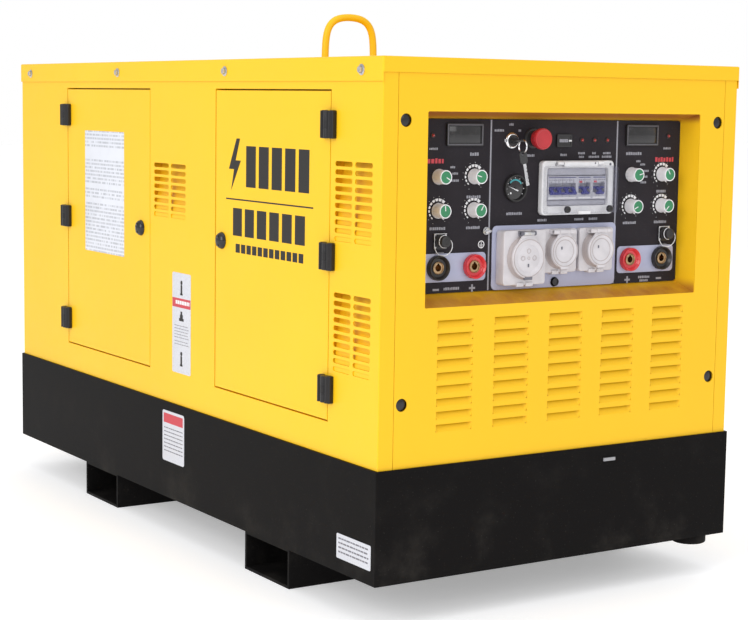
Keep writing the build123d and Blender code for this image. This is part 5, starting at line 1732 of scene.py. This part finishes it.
class WELDER_OT_remote_sockets(bpy.types.Operator):
    """Models the two remote-control sockets with their screw caps and moulded cap straps"""

    bl_idname = "welder.remote_sockets"
    bl_label = "Remote sockets"

    def execute(self, context):
        for unit, y in (("a", -264), ("b", 280)):
            z = 699
            flange = block(
                f"remote_socket_{unit}", (PANEL_X, y - 15, z - 15), (PANEL_X + 2.6, y + 15, z + 15), 3,
            )
            painted(rounded(flange, 0.5, 2), "connector_black")
            x = PANEL_X + 2.6
            # white lines along the top and -Y edges of the flange: painted highlight on those edges
            lines = [
                ((x, y - 14, z + 13), (x + 0.2, y + 14, z + 14)),
                ((x, y - 14, z - 14), (x + 0.2, y - 13, z + 13)),
            ]
            cap = turned(
                "cap", ((0, 0), (0, 12), (4, 12), (4.6, 11), (16, 11), (18.6, 10.2), (19.6, 8.4),
                (19.6, 5), (18.8, 4.2), (18.8, 0)),
                (x, y, z), steps=48,
            )
            painted(smoothed(cap, 35), "connector_black")
            screws = [turned("screw", ((0, 0), (0, 2), (0.8, 1.6), (1.0, 0)),
            (x, y + a * 11.5, z + b * 11.5), steps=16)
                      for a in (-1, 1) for b in (-1, 1)]
            screws = [painted(screw, "zinc_steel") for screw in screws]
            strap = bent_rod(
                "strap", [(x + 12, y + 11.4, z + 5), (x + 14, y + 18, z - 3), (x + 13, y + 17, z - 18),
                (x + 10, y + 4, z - 28),
                          (x + 5, y - 10, z - 25), (x + 1.2, y - 13.4, z - 13)], 0.8, 10,
            )
            eye = painted(ring("eye", (x + 12, y, z), 11.2, 0.8), "ink_white")
            # the white outline blocks are the painted edge highlight
            parts = (
                flange, blocks("outline", lines, "ink_white"), cap, *screws, painted(strap, "ink_white"),
                eye,
            )
            stands_for = ("remote_sockets",) if unit == "a" else ()
            finished(joined(flange.name, *parts), None, ROOT, stands_for)
        return {"FINISHED"}


# ---- louvred control end
END_X = high("control_end_panel").x
SHEET = 2.0
MOUTH = ((-326, 326), (582, 936))
HOLE_YS, HOLE_ZS = (-373, 373), (409, 920)
LOUVRE_YS = [column * 128.5 for column in (-2, -1, 0, 1, 2)]
LOUVRE_ZS = [558.5 - row * 24 for row in range(9)]
LOUVRE_WIDTH, LOUVRE_HEIGHT, LOUVRE_DEPTH = 80.0, 14.0, 8.0


def louvre_shell(name):
    """One pressed louvre: a sloped blade with two end walls, open along its top edge."""
    y, z = LOUVRE_YS[0], LOUVRE_ZS[0]
    half = LOUVRE_WIDTH / 2
    shell = block(name, (END_X - LOUVRE_DEPTH, y - half, z - LOUVRE_HEIGHT), (END_X, y + half, z))
    pick(shell, lambda point: point.co.x / MM < END_X - 1 and point.co.z / MM < z - 1, "VERT")
    bpy.ops.transform.translate(value=(LOUVRE_DEPTH * MM, 0, 0))
    merge_doubles(0.1 * MM)
    done(shell)
    pick(shell, lambda point: point.co.x / MM < END_X - 1, "VERT")
    bpy.ops.transform.resize(value=(1, 0.9, 1), center_override=(END_X * MM, y * MM, z * MM))
    done(shell)
    pick(shell, lambda face: face.normal.z > 0.9 or face.normal.x > 0.9)
    bpy.ops.mesh.delete(type="FACE")
    done(shell)
    pick(shell, lambda edge: not edge.is_boundary and edge.calc_face_angle(0) > 0.2, "EDGE")
    bpy.ops.mesh.bevel(offset=4 * MM, segments=4, affect="EDGES", clamp_overlap=True)
    done(shell)
    modified(shell, "SOLIDIFY", thickness=1.2 * MM, offset=1)
    return smoothed(shell, 50)


class WELDER_OT_control_end(bpy.types.Operator):
    """Models the control end panel: folded sheet, recess mouth, pressed louvres and bolt holes"""

    bl_idname = "welder.control_end"
    bl_label = "Control end panel"

    def execute(self, context):
        start, stop = low("control_end_panel"), high("control_end_panel")
        (y0, y1), (z0, z1) = MOUTH
        panel = block("control_end_sheet", (END_X - SHEET, start.y, start.z), stop)
        mouth = block("mouth", (END_X - 40, y0, z0), (END_X + 5, y1, z1), 3)
        holes = [rod("hole", (END_X - 30, y, z), 12, 40, sides=48) for y in HOLE_YS for z in HOLE_ZS]
        half = LOUVRE_WIDTH / 2
        slots = [((END_X - 20, y - half, z - LOUVRE_HEIGHT), (END_X + 5, y + half, z))
                 for y in LOUVRE_YS for z in LOUVRE_ZS]
        cut(panel, mouth, *holes, blocks("slots", slots, "canopy_yellow"))
        first = louvre_shell("louvre")
        louvres = [first]
        for y in LOUVRE_YS:
            for z in LOUVRE_ZS:
                move = Vector((0, y - LOUVRE_YS[0], z - LOUVRE_ZS[0]))
                if move.length > 1:
                    louvres.append(copied(first, "louvre", move))
        flanges = []
        for side in (-1, 1):
            inner, outer = sorted((side * stop.y, side * (stop.y - SHEET)))
            flanges.append(block("flange", (start.x, inner, start.z), (END_X - SHEET, outer, stop.z)))
        sheet = joined("control_end_sheet", panel, *louvres, *flanges)
        finished(sheet, "canopy_yellow", ROOT, ("control_end_panel",))
        return {"FINISHED"}


# ---- doors: hinges, locks, linings
HINGE_ZS = (418, 666, 909)
HINGE_HEIGHT = 50.0
LEAF = 20.0
DOOR_SPANS = {"1": (-551, -97, "left"), "2": (217, 668, "right")}
LOCK_CROWN = 12.6


def hinge_cap(name, pin_x, side, sign, z):
    """Moulded cap over one hinge leaf, with two screws; side is where the leaf lies from the pin."""
    start, stop = sorted((pin_x + side * 6.2, pin_x + side * (LEAF + 1.2)))
    inner, outer = sorted((sign * (FACE_Y + 0.2), sign * (FACE_Y + 9.2)))
    half = HINGE_HEIGHT / 2 + 1
    cap = block(name, (start, inner, z - half), (stop, outer, z + half), 3.4, "Y")
    rounded(cap, 1.6, 3)
    painted(cap, "hinge_black")
    screws = []
    for height in (-13, 13):
        place = Vector((pin_x + side * 14, sign * (FACE_Y + 8.9), z + height))
        outline = ((0, 0), (0, 4), (sign * 0.7, 3.6), (sign * 0.7, 2.0), (sign * 0.1, 1.9), (sign * 0.1, 0))
        screws.append(painted(turned("screw", outline, place, "Y", 24), "shaft_steel"))
    return joined(name, cap, *screws)


def lock_dome(name, x, sign):
    """Glossy domed lock head with a rolled skirt and a key slot."""
    seat = Vector((x, sign * FACE_Y, joint_point("door_lock_left_1_turn").z))
    outline = [(0.2, 15), (0.2, 17.2), (1.6, 17.6), (3.0, 16.8)]
    outline += [
        (3.0 + (LOCK_CROWN - 3.0) * math.sin(turn), 16.6 * math.cos(turn)) for turn in (0.2, 0.45, 0.75,
        1.05, 1.35)
    ]
    outline += [(LOCK_CROWN, 0), (0.2, 0)]
    dome = turned(name, [(sign * along, radius) for along, radius in outline], seat, "Y", 56)
    edge = sign * (FACE_Y + LOCK_CROWN)
    inner, outer = sorted((edge - sign * 1.8, edge + sign * 2))
    cut(dome, block("slot", (x - 1.1, inner, seat.z - 4.5), (x + 1.1, outer, seat.z + 4.5)))
    return painted(smoothed(dome, 40), "lock_black")


def door_lining(name, x0, x1, sign):
    """Sound foam behind a door, its corners and edges rounded."""
    z0, z1 = low("door_left_1").z, high("door_left_1").z
    inner, outer = sorted((sign * (FACE_Y - 15), sign * (FACE_Y - SHEET - 0.3)))
    foam = block(name, (x0, inner, z0 + 26), (x1, outer, z1 - 26), 14, "Y")
    return painted(rounded(foam, 3, 3), "foam_lining")


class WELDER_OT_door_fittings(bpy.types.Operator):
    """Models the hinge caps, lock heads and foam linings of the four doors"""

    bl_idname = "welder.door_fittings"
    bl_label = "Door fittings"

    def execute(self, context):
        for wall, sign in (("left", -1), ("right", 1)):
            for number, (x0, x1, hinge) in DOOR_SPANS.items():
                door = f"door_{wall}_{number}"
                inward = 1 if hinge == "left" else -1
                pin_x = joint_point(f"{door}_swing").x
                for row, z in enumerate(HINGE_ZS, 1):
                    cap = hinge_cap(f"{door}_hinge_cap_{row}", pin_x, inward, sign, z)
                    finished(cap, None, door)
                    cap = hinge_cap(f"{door}_post_cap_{row}", pin_x, -inward, sign, z)
                    finished(cap, None, ROOT)
                lock = f"door_lock_{wall}_{number}"
                lock_x = joint_point(f"{lock}_turn").x
                finished(lock_dome(f"{lock}_head", lock_x, sign), None, lock)
                start, stop = (x0 + 34, x1 - 76) if inward > 0 else (x0 + 60, x1 - 34)
                finished(door_lining(f"{door}_lining", start, stop, sign), None, door)
        return {"FINISHED"}


# ---- bolts and lifting eye
ROOF_BOLT_XS, ROOF_BOLT_Z = (-778, -259, 259, 778), 1008


def hex_bolt(name, place, direction, radius=7.2, height=5.6):
    """Hexagon head with a chamfered crown, facing along an axis."""
    axis = "XYZ"[max(range(3), key=lambda index: abs(direction[index]))]
    base = place if sum(direction) > 0 else place - Vector((abs(v) * height for v in direction))
    head = rod(name, base, radius, height, axis, 6)
    pick(head, facing(direction))
    bpy.ops.mesh.inset(thickness=0.9 * MM, depth=0)
    done(head)
    return painted(rounded(head, 0.6, 2), "zinc_steel")


class WELDER_OT_bolts(bpy.types.Operator):
    """Models the roof bolts with their washers, and the bolts in the access holes under dark caps that also stand
    in for the shade inside the holes
    """

    bl_idname = "welder.bolts"
    bl_label = "Bolts"

    def execute(self, context):
        bolts = []
        roof_y = high("roof_cover").y
        for x in ROOF_BOLT_XS:
            for sign in (-1, 1):
                steps = ((0, 0), (0, 10), (sign * 1.2, 10.2), (sign * 1.6, 9.4), (sign * 1.6, 0))
                washer = turned("washer", steps, (x, sign * roof_y, ROOF_BOLT_Z), "Y", 32)
                bolts.append(painted(smoothed(washer, 35), "zinc_steel"))
                bolts.append(
                    hex_bolt("bolt", Vector((x, sign * (roof_y + 1.4), ROOF_BOLT_Z)), Vector((0, sign, 0)),
                    6.6, 5.2)
                )
        for end in (-1, 1):
            for y in HOLE_YS:
                for z in HOLE_ZS:
                    place = Vector((end * 829, y, z))
                    bolts.append(hex_bolt("bolt", place, Vector((end, 0, 0)), 7.4, 5.5))
                    # a near-black cap in each access hole, over its bolt; its dark also stands in for the shade
                    # inside the hole
                    start = min(end * (END_X - 7), end * (END_X - 3.5))
                    shade_plug = rod("shade_plug", (start, y, z), 11.7, 3.5, sides=40)
                    bolts.append(painted(rounded(shade_plug, 0.8, 2), "lock_black"))
        finished(joined("canopy_bolts", *bolts), None, ROOT, ("fasteners",))
        return {"FINISHED"}


class WELDER_OT_lifting_eye(bpy.types.Operator):
    """Models the bent lifting bar with its weld beads"""

    bl_idname = "welder.lifting_eye"
    bl_label = "Lifting eye"

    def execute(self, context):
        start, stop = low("lifting_eye"), high("lifting_eye")
        x, radius, span = 50, 8, 63.5
        top = stop.z - radius
        rise = [
            (x, -span, start.z + 1), (x, -span, top - 40), (x, -span + 14, top - 12), (x, -span + 40, top),
        ]
        points = rise + [(px, -py, pz) for px, py, pz in reversed(rise)]
        bar = bent_rod("lifting_eye_bar", points, radius, 24, 2)
        parts = [painted(bar, "canopy_yellow")]
        for y in (-span, span):
            bead = turned(
                "bead", ((0, 7.6), (0, 10.8), (1.6, 10.4), (3.2, 9.2), (4.4, 8.1), (4, 7.4), (0, 7.6)),
                (x, y, start.z + 0.2), "Z", 40,
            )
            parts.append(painted(smoothed(bead, 60), "canopy_yellow"))
        finished(joined("lifting_eye_bar", *parts), None, ROOT, ("lifting_eye",))
        return {"FINISHED"}


# ---- plates and labels
LABEL = 0.5


def side_label(name, x0, x1, z0, z1, face, material, corner=4):
    """A thin printed plate on the -Y side."""
    piece = block(name, (x0, face - LABEL, z0), (x1, face + 0.05, z1), corner, "Y")
    return painted(rounded(piece, 0.12, 2), material)


def side_prints(name, boxes, face, material):
    """Printed blocks on a plate; boxes are (x0, x1, z0, z1)."""
    out = face - LABEL
    return blocks(
        name, [((x0, out - 0.12, z0), (x1, out + 0.05, z1)) for x0, x1, z0, z1 in boxes], material
    )


def text_rows(x0, x1, top, pitch, count, height, seed):
    """Rows of ragged bars that stand for small print."""
    draw = random.Random(seed)
    rows = []
    for row in range(count):
        z = top - row * pitch
        x = x0
        while x < x1 - 4:
            stop = min(x + draw.uniform(5, 13), x1)
            rows.append((x, stop, z - height, z))
            x = stop + 1.8
    return rows


class WELDER_OT_labels(bpy.types.Operator):
    """Models the plain generic plates on the doors, the side and the skid"""

    bl_idname = "welder.labels"
    bl_label = "Plates and labels"

    def execute(self, context):
        face = -FACE_Y
        sheet = side_label("instruction_sheet", -449, -231, 591, 874, face, "placard_white", 2)
        finished(sheet, None, "door_left_1")

        strip = side_label("side_label", 17, 105, 362, 580, face, "label_white", 5)
        red = side_prints("band", [(18, 104, 505, 525)], face, "ink_red")
        pale = side_prints("band_words", text_rows(34, 100, 520, 20, 1, 8, 3), face - 0.15, "ink_white")
        lines = text_rows(28, 96, 466, 6.4, 5, 1.3, 5) + text_rows(28, 96, 432, 6.4, 2, 1.3, 6)
        small = side_prints("rows", lines, face, "ink_dim")
        figures = []
        for z in (548, 394):
            figures += [(57, 65, z - 14, z + 6), (55, 67, z - 16, z - 12)]
        figures += [(50, 72, 476, 482), (54, 68, 482, 490), (57, 65, 490, 497)]
        black = side_prints("figures", figures, face, "ink_black")
        heads = [
            painted(
                turned("head", ((0, 0), (0, 5), (-0.15, 4.8), (-0.15, 0)), (61, face - LABEL, z), "Y", 20),
                "ink_black",
            )
            for z in (559, 405)
        ]
        finished(joined("side_label", strip, red, pale, small, black, *heads), None, ROOT)

        skid = low("base_tray").y
        plate_piece = side_label("skid_label", -20, 85, 161, 273, skid, "label_white", 6)
        header = side_prints("header", [(-14, 79, 246, 267)], skid, "ink_red")
        rows = side_prints("rows", text_rows(-12, 78, 236, 8.5, 7, 2.2, 8), skid, "ink_dim")
        finished(joined("skid_label", plate_piece, header, rows), None, ROOT)
        small_plate = side_label("makers_plate", 717, 835, 107, 154, skid, "label_white", 3)
        rows = side_prints("rows", text_rows(724, 828, 147, 8.5, 4, 3.0, 9), skid, "ink_dim")
        finished(joined("makers_plate", small_plate, rows), None, ROOT)
        return {"FINISHED"}


class WELDER_OT_emblem(bpy.types.Operator):
    """Models the badge on the second door: a zigzag bolt, a rule and three rows of plain bars"""

    bl_idname = "welder.emblem"
    bl_label = "Door badge"

    def execute(self, context):
        face = -FACE_Y
        x0, x1, z1 = 262, 610, 874
        bolt = [(44, 0), (12, -62), (34, -62), (22, -104), (62, -44), (40, -44), (58, 0)]
        outline = [Vector((x0 + x, face + 0.05, z1 + z)) for x, z in bolt]
        flash = painted(slab("bolt", outline, (0, -LABEL, 0)), "ink_black")
        bars = []
        for step in range(5):
            start = x0 + 84 + step * 52
            bars.append((start, start + 40, z1 - 96, z1 - 14))
        bars.append((x0, x1, z1 - 124, z1 - 121))
        letters = [(x0 + 30 + step * 50, x0 + 68 + step * 50, z1 - 196, z1 - 140) for step in range(6)]
        foot = [(x0 + 42 + step * 23, x0 + 60 + step * 23, z1 - 230, z1 - 212) for step in range(12)]
        plates_on_door = side_prints("bars", bars + letters + foot, face + LABEL, "ink_black")
        finished(joined("door_badge", flash, plates_on_door), None, "door_left_2")
        return {"FINISHED"}
# ---- engine bay
ENGINE_SIDE, ENGINE_TOP, SHAFT_Z, HOUSING = 190.0, 780.0, 480.0, 215.0


def bolted_cover(name, x0, x1, z0, z1, side, sign):
    """Rounded cover plate on a side face, with a bolt at each corner and half way."""
    start, stop = sorted((sign * side, sign * (side + 6)))
    cover = block(name, (x0, start, z0), (x1, stop, z1), 14, "Y")
    parts = [painted(rounded(cover, 1.5, 2), "engine_iron")]
    for x in (x0 + 13, (x0 + x1) / 2, x1 - 13):
        for z in (z0 + 13, z1 - 13):
            parts.append(hex_bolt("bolt", Vector((x, sign * (side + 6), z)), Vector((0, sign, 0)), 6, 4.5))
    return parts


class WELDER_OT_engine_fittings(bpy.types.Operator):
    """Models the covers, injection pump, pipes, oil filter, starter, dipstick and filler cap"""

    bl_idname = "welder.engine_fittings"
    bl_label = "Engine fittings"

    def execute(self, context):
        parts = []
        for sign in (-1, 1):
            for x in (-560, -350):
                parts += bolted_cover("cover", x, x + 170, 400, 510, ENGINE_SIDE, sign)
            for z in (550, 670):
                start, stop = sorted((sign * ENGINE_SIDE, sign * (ENGINE_SIDE + 5)))
                rib = block("rib", (-575, start, z), (-85, stop, z + 9))
                parts.append(painted(rounded(rib, 2, 2), "engine_iron"))
        for x in (-540, -420, -240, -120):
            parts.append(hex_bolt("bolt", Vector((x, 0, ENGINE_TOP + 60)), Vector((0, 0, 1)), 8, 6))
        cap = turned(
            "cap", ((0, 0), (0, 27), (5, 28), (14, 26), (17, 22), (17, 0)), (-330, -20, ENGINE_TOP + 60),
            "Z", 48,
        )
        grip = block("grip", (-354, -24, ENGINE_TOP + 76), (-306, -16, ENGINE_TOP + 86))
        parts += [
            painted(smoothed(cap, 35), "cleaner_black"), painted(rounded(grip, 2, 2), "cleaner_black"),
        ]
        finished(joined("engine_covers", *parts), None, ROOT)

        pump = block("pump", (-330, -ENGINE_SIDE - 50, 585), (-150, -ENGINE_SIDE, 640))
        parts = [painted(rounded(pump, 6, 3), "radiator_aluminium")]
        for x in (-315, -268, -212, -165):
            parts.append(painted(rod("union", (x, -216, 638), 8, 16, "Z", 6), "zinc_steel"))
            route = (
                (x, -216, 650), (x, -216, 712), (x * 1.5 + 60, -208, 780), (x * 1.5 + 60, -150, 812),
                (x * 1.5 + 60, -128, 778),
            )
            parts.append(painted(smoothed(bent_rod("pipe", route, 3)), "zinc_steel"))
        stick = ((-100, -196, 470), (-100, -205, 600), (-112, -212, 700), (-112, -212, 770))
        parts.append(painted(smoothed(bent_rod("dipstick", stick, 4)), "zinc_steel"))
        parts.append(painted(ring("pull", (-112, -212, 780), 11, 2.4, "Y", 32), "cap_yellow"))
        finished(joined("injection_pump", *parts), None, ROOT)

        can = ((0, 0), (0, 24), (4, 28), (84, 28), (90, 25), (94, 22), (94, 0))
        oil_filter = smoothed(turned("oil_filter", can, (-140, 220, 400), "Z", 48), 35)
        head = block("head", (-172, ENGINE_SIDE, 494), (-108, 248, 522))
        motor = ((0, 0), (0, 22), (4, 26), (120, 26), (126, 22), (170, 22), (176, 16), (176, 0))
        starter = smoothed(turned("starter", motor, (-300, 217, 360), "X", 48), 35)
        parts = [painted(oil_filter, "cap_yellow"), painted(rounded(head, 4, 2), "radiator_aluminium")]
        parts.append(painted(starter, "cleaner_black"))
        finished(joined("oil_filter", *parts), None, ROOT)
        return {"FINISHED"}


class WELDER_OT_generator_fittings(bpy.types.Operator):
    """Models the clamp bands of the generator and air cleaner and the terminal box covers"""

    bl_idname = "welder.generator_fittings"
    bl_label = "Generator fittings"

    def execute(self, context):
        parts = []
        for x, radius, height, bar in ((90, HOUSING, SHAFT_Z, 4), (470, HOUSING, SHAFT_Z, 4)):
            parts.append(painted(ring("band", (x, 0, height), radius, bar, "X", 96), "generator_iron"))
        for x in (205, 365):
            parts.append(painted(ring("clamp", (x, -50, 826), 64.5, 2.6, "X", 72), "zinc_steel"))
        for sign in (-1, 1):
            parts += bolted_cover("cover", 165, 405, 655, 730, 130, sign)
        finished(joined("generator_fittings", *parts), None, ROOT)
        return {"FINISHED"}


# ---- stage
class WELDER_OT_stage(bpy.types.Operator):
    """Lays the floor and sets up the camera, the soft lights and the pale surroundings"""

    bl_idname = "welder.stage"
    bl_label = "Stage"

    def execute(self, context):
        studio = context.scene.welder_studio
        lay_floor(studio)
        aim_camera(studio)
        for name, place, size, power in (
            ("key_light", (2.0, -5.6, 3.2), 4.0, studio.key_power),
            ("front_light", (6.4, 0.6, 3.2), 3.2, studio.fill_power),
            ("top_light", (0.6, -0.4, 5.2), 4.5, studio.top_power),
            ("rear_light", (-5.0, 4.5, 3.6), 4.0, studio.rear_power),
        ):
            hang_light(name, Vector(place), size, power)
        light_surroundings(studio.surroundings)
        return {"FINISHED"}


def lay_floor(studio):
    """A wide pale floor, its top at the underside of the fork pockets."""
    half = studio.floor_half
    floor = block("floor", (-half / MM, -half / MM, -40), (half / MM, half / MM, 0))
    floor.data.materials.append(paint("floor_pale"))


@finish("floor_pale")
def floor_pale(name):
    """Matt pale studio floor with the faintest mottle."""
    made = Finish(name)
    mottle = made.noise(3, 5, 0.55)
    tone = made.mix(mottle, (0.90, 0.90, 0.91), (0.86, 0.86, 0.87))
    return made.surface(
        tone, mottle * 0.1 + 0.55, normal=made.raised(mottle, 0.02, 0.001),
        Emission_Color=(1, 1, 1, 1), Emission_Strength=0.34,
    )


def aim_camera(studio):
    """A camera that looks from azimuth, elevation and roll at a point on the set."""
    azimuth = studio.azimuth
    elevation = studio.elevation
    back = Vector((
        math.sin(azimuth) * math.cos(elevation), -math.cos(azimuth) * math.cos(elevation),
        math.sin(elevation),
    ))
    right = Vector((math.cos(azimuth), math.sin(azimuth), 0))
    up = back.cross(right)
    tilt = Matrix.Rotation(studio.roll, 3, back)
    turn = Matrix((tilt @ right, tilt @ up, back)).transposed()
    lens = bpy.data.cameras.new("camera")
    lens.sensor_width = studio.sensor
    lens.lens = studio.lens
    camera = bpy.data.objects.new("camera", lens)
    bpy.context.scene.collection.objects.link(camera)
    camera.matrix_world = Matrix.Translation(Vector(studio.target) + back * studio.distance) @ turn.to_4x4()
    bpy.context.scene.camera = camera


def hang_light(name, place, size, power):
    """A square area light that faces the middle of the set."""
    clear_selection()
    bpy.ops.object.light_add(type="AREA", location=place)
    lamp = bpy.context.active_object
    lamp.name = name
    lamp.data.size = size
    lamp.data.energy = power
    aim = Vector((0, 0, 0.5)) - place
    lamp.rotation_euler = aim.to_track_quat("-Z", "Y").to_euler()


def light_surroundings(strength):
    """An even pale world."""
    world = bpy.data.worlds.new("surroundings")
    world.use_nodes = True
    background = world.node_tree.nodes["Background"]
    background.inputs["Color"].default_value = (1, 1, 1, 1)
    background.inputs["Strength"].default_value = strength
    seen = world.node_tree.nodes.new("ShaderNodeLightPath")
    brightness = world.node_tree.nodes.new("ShaderNodeMapRange")
    brightness.inputs["To Min"].default_value = strength
    brightness.inputs["To Max"].default_value = 1
    world.node_tree.links.new(seen.outputs["Is Camera Ray"], brightness.inputs["Value"])
    world.node_tree.links.new(brightness.outputs["Result"], background.inputs["Strength"])
    bpy.context.scene.world = world
    bpy.context.scene.view_settings.view_transform = "Standard"


# ---- what a user can change
def colour(name, description, default):
    """A property that holds a colour."""
    return bpy.props.FloatVectorProperty(
        name=name, description=description, subtype="COLOR", default=default, min=0, max=1,
    )


def angle(name, description, degrees):
    """A property that holds an angle, given in degrees."""
    return bpy.props.FloatProperty(
        name=name, description=description, subtype="ANGLE", default=math.radians(degrees),
    )


def power(name, description, watts):
    """A property that holds the power of a light."""
    return bpy.props.FloatProperty(
        name=name, description=description, subtype="POWER", default=watts, min=0,
    )


class WelderColours(bpy.types.PropertyGroup):
    """Colours of the main finishes."""

    canopy: colour("Canopy", "Gloss coat of the canopy", (0.90, 0.525, 0.010))
    base: colour("Base", "Textured coat of the skid", (0.0080, 0.0074, 0.0074))
    panel: colour("Panel", "Film on the control panel", (0.022, 0.019, 0.023))
    plates: colour("Plates", "Mounting plates of the outlets", (0.41, 0.43, 0.58))
    stop: colour("Red", "Stop button and positive outputs", (0.46, 0.022, 0.030))


class WelderStudio(bpy.types.PropertyGroup):
    """Camera and lights."""

    azimuth: angle("Azimuth", "Turn of the camera about the set", 57.27)
    elevation: angle("Elevation", "Rise of the camera", 6.70)
    roll: angle("Roll", "Turn of the camera about its view", 0.87)
    distance: bpy.props.FloatProperty(
        name="Distance", description="From the camera to its target", subtype="DISTANCE", default=4.100,
    )
    target: bpy.props.FloatVectorProperty(
        name="Target", description="Point that the camera looks at", subtype="XYZ",
        default=(0.0493, 0.0765, 0.474),
    )
    lens: bpy.props.FloatProperty(
        name="Lens", description="Focal length in millimetres", default=85.53, min=10,
    )
    sensor: bpy.props.FloatProperty(
        name="Sensor", description="Sensor width in millimetres", default=36, min=5,
    )
    floor_half: bpy.props.FloatProperty(
        name="Floor", description="Half the width of the floor", subtype="DISTANCE", default=30,
    )
    key_power: power("Key light", "Power at the door side", 175)
    fill_power: power("Front light", "Power at the control end", 60)
    top_power: power("Top light", "Power above the set", 40)
    rear_power: power("Rear light", "Power behind the set", 40)
    surroundings: bpy.props.FloatProperty(
        name="Surroundings", description="Strength of the even pale world", default=0.74, min=0,
    )


PROPERTY_GROUPS = (WelderColours, WelderStudio)
OPERATORS = (
    WELDER_OT_paint_frame,
    WELDER_OT_knobs,
    WELDER_OT_printing,
    WELDER_OT_instruments,
    WELDER_OT_weld_outputs,
    WELDER_OT_plates,
    WELDER_OT_stop_button,
    WELDER_OT_key,
    WELDER_OT_breaker_box,
    WELDER_OT_breaker_window,
    WELDER_OT_breakers,
    WELDER_OT_outlets,
    WELDER_OT_remote_sockets,
    WELDER_OT_control_end,
    WELDER_OT_door_fittings,
    WELDER_OT_bolts,
    WELDER_OT_lifting_eye,
    WELDER_OT_labels,
    WELDER_OT_emblem,
    WELDER_OT_engine_fittings,
    WELDER_OT_generator_fittings,
    WELDER_OT_stage,
)


class WELDER_PT_panel(bpy.types.Panel):
    """Lists the operators in the order in which they run"""

    bl_idname = "WELDER_PT_panel"
    bl_label = "Engine driven welder"
    bl_space_type = "VIEW_3D"
    bl_region_type = "UI"
    bl_category = "Welder"

    def draw(self, context):
        for group in (context.scene.welder_colours, context.scene.welder_studio):
            box = self.layout.box()
            for key in group.bl_rna.properties.keys():
                if key not in ("rna_type", "name"):
                    box.prop(group, key)
        for operator in OPERATORS:
            self.layout.operator(operator.bl_idname)


def register():
    """Registers the classes and hangs the property groups on the scene."""
    for group in (*PROPERTY_GROUPS, *OPERATORS, WELDER_PT_panel):
        bpy.utils.register_class(group)
    bpy.types.Scene.welder_colours = bpy.props.PointerProperty(type=WelderColours)
    bpy.types.Scene.welder_studio = bpy.props.PointerProperty(type=WelderStudio)


def unregister():
    """Takes the property groups and the classes away."""
    del bpy.types.Scene.welder_studio
    del bpy.types.Scene.welder_colours
    for group in reversed((*PROPERTY_GROUPS, *OPERATORS, WELDER_PT_panel)):
        bpy.utils.unregister_class(group)


def main():
    """Runs every operator."""
    register()
    clear_selection()
    for operator in OPERATORS:
        family, name = operator.bl_idname.split(".")
        getattr(getattr(bpy.ops, family), name)()
    clear_selection()
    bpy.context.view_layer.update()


if __name__ == "__main__":
    main()
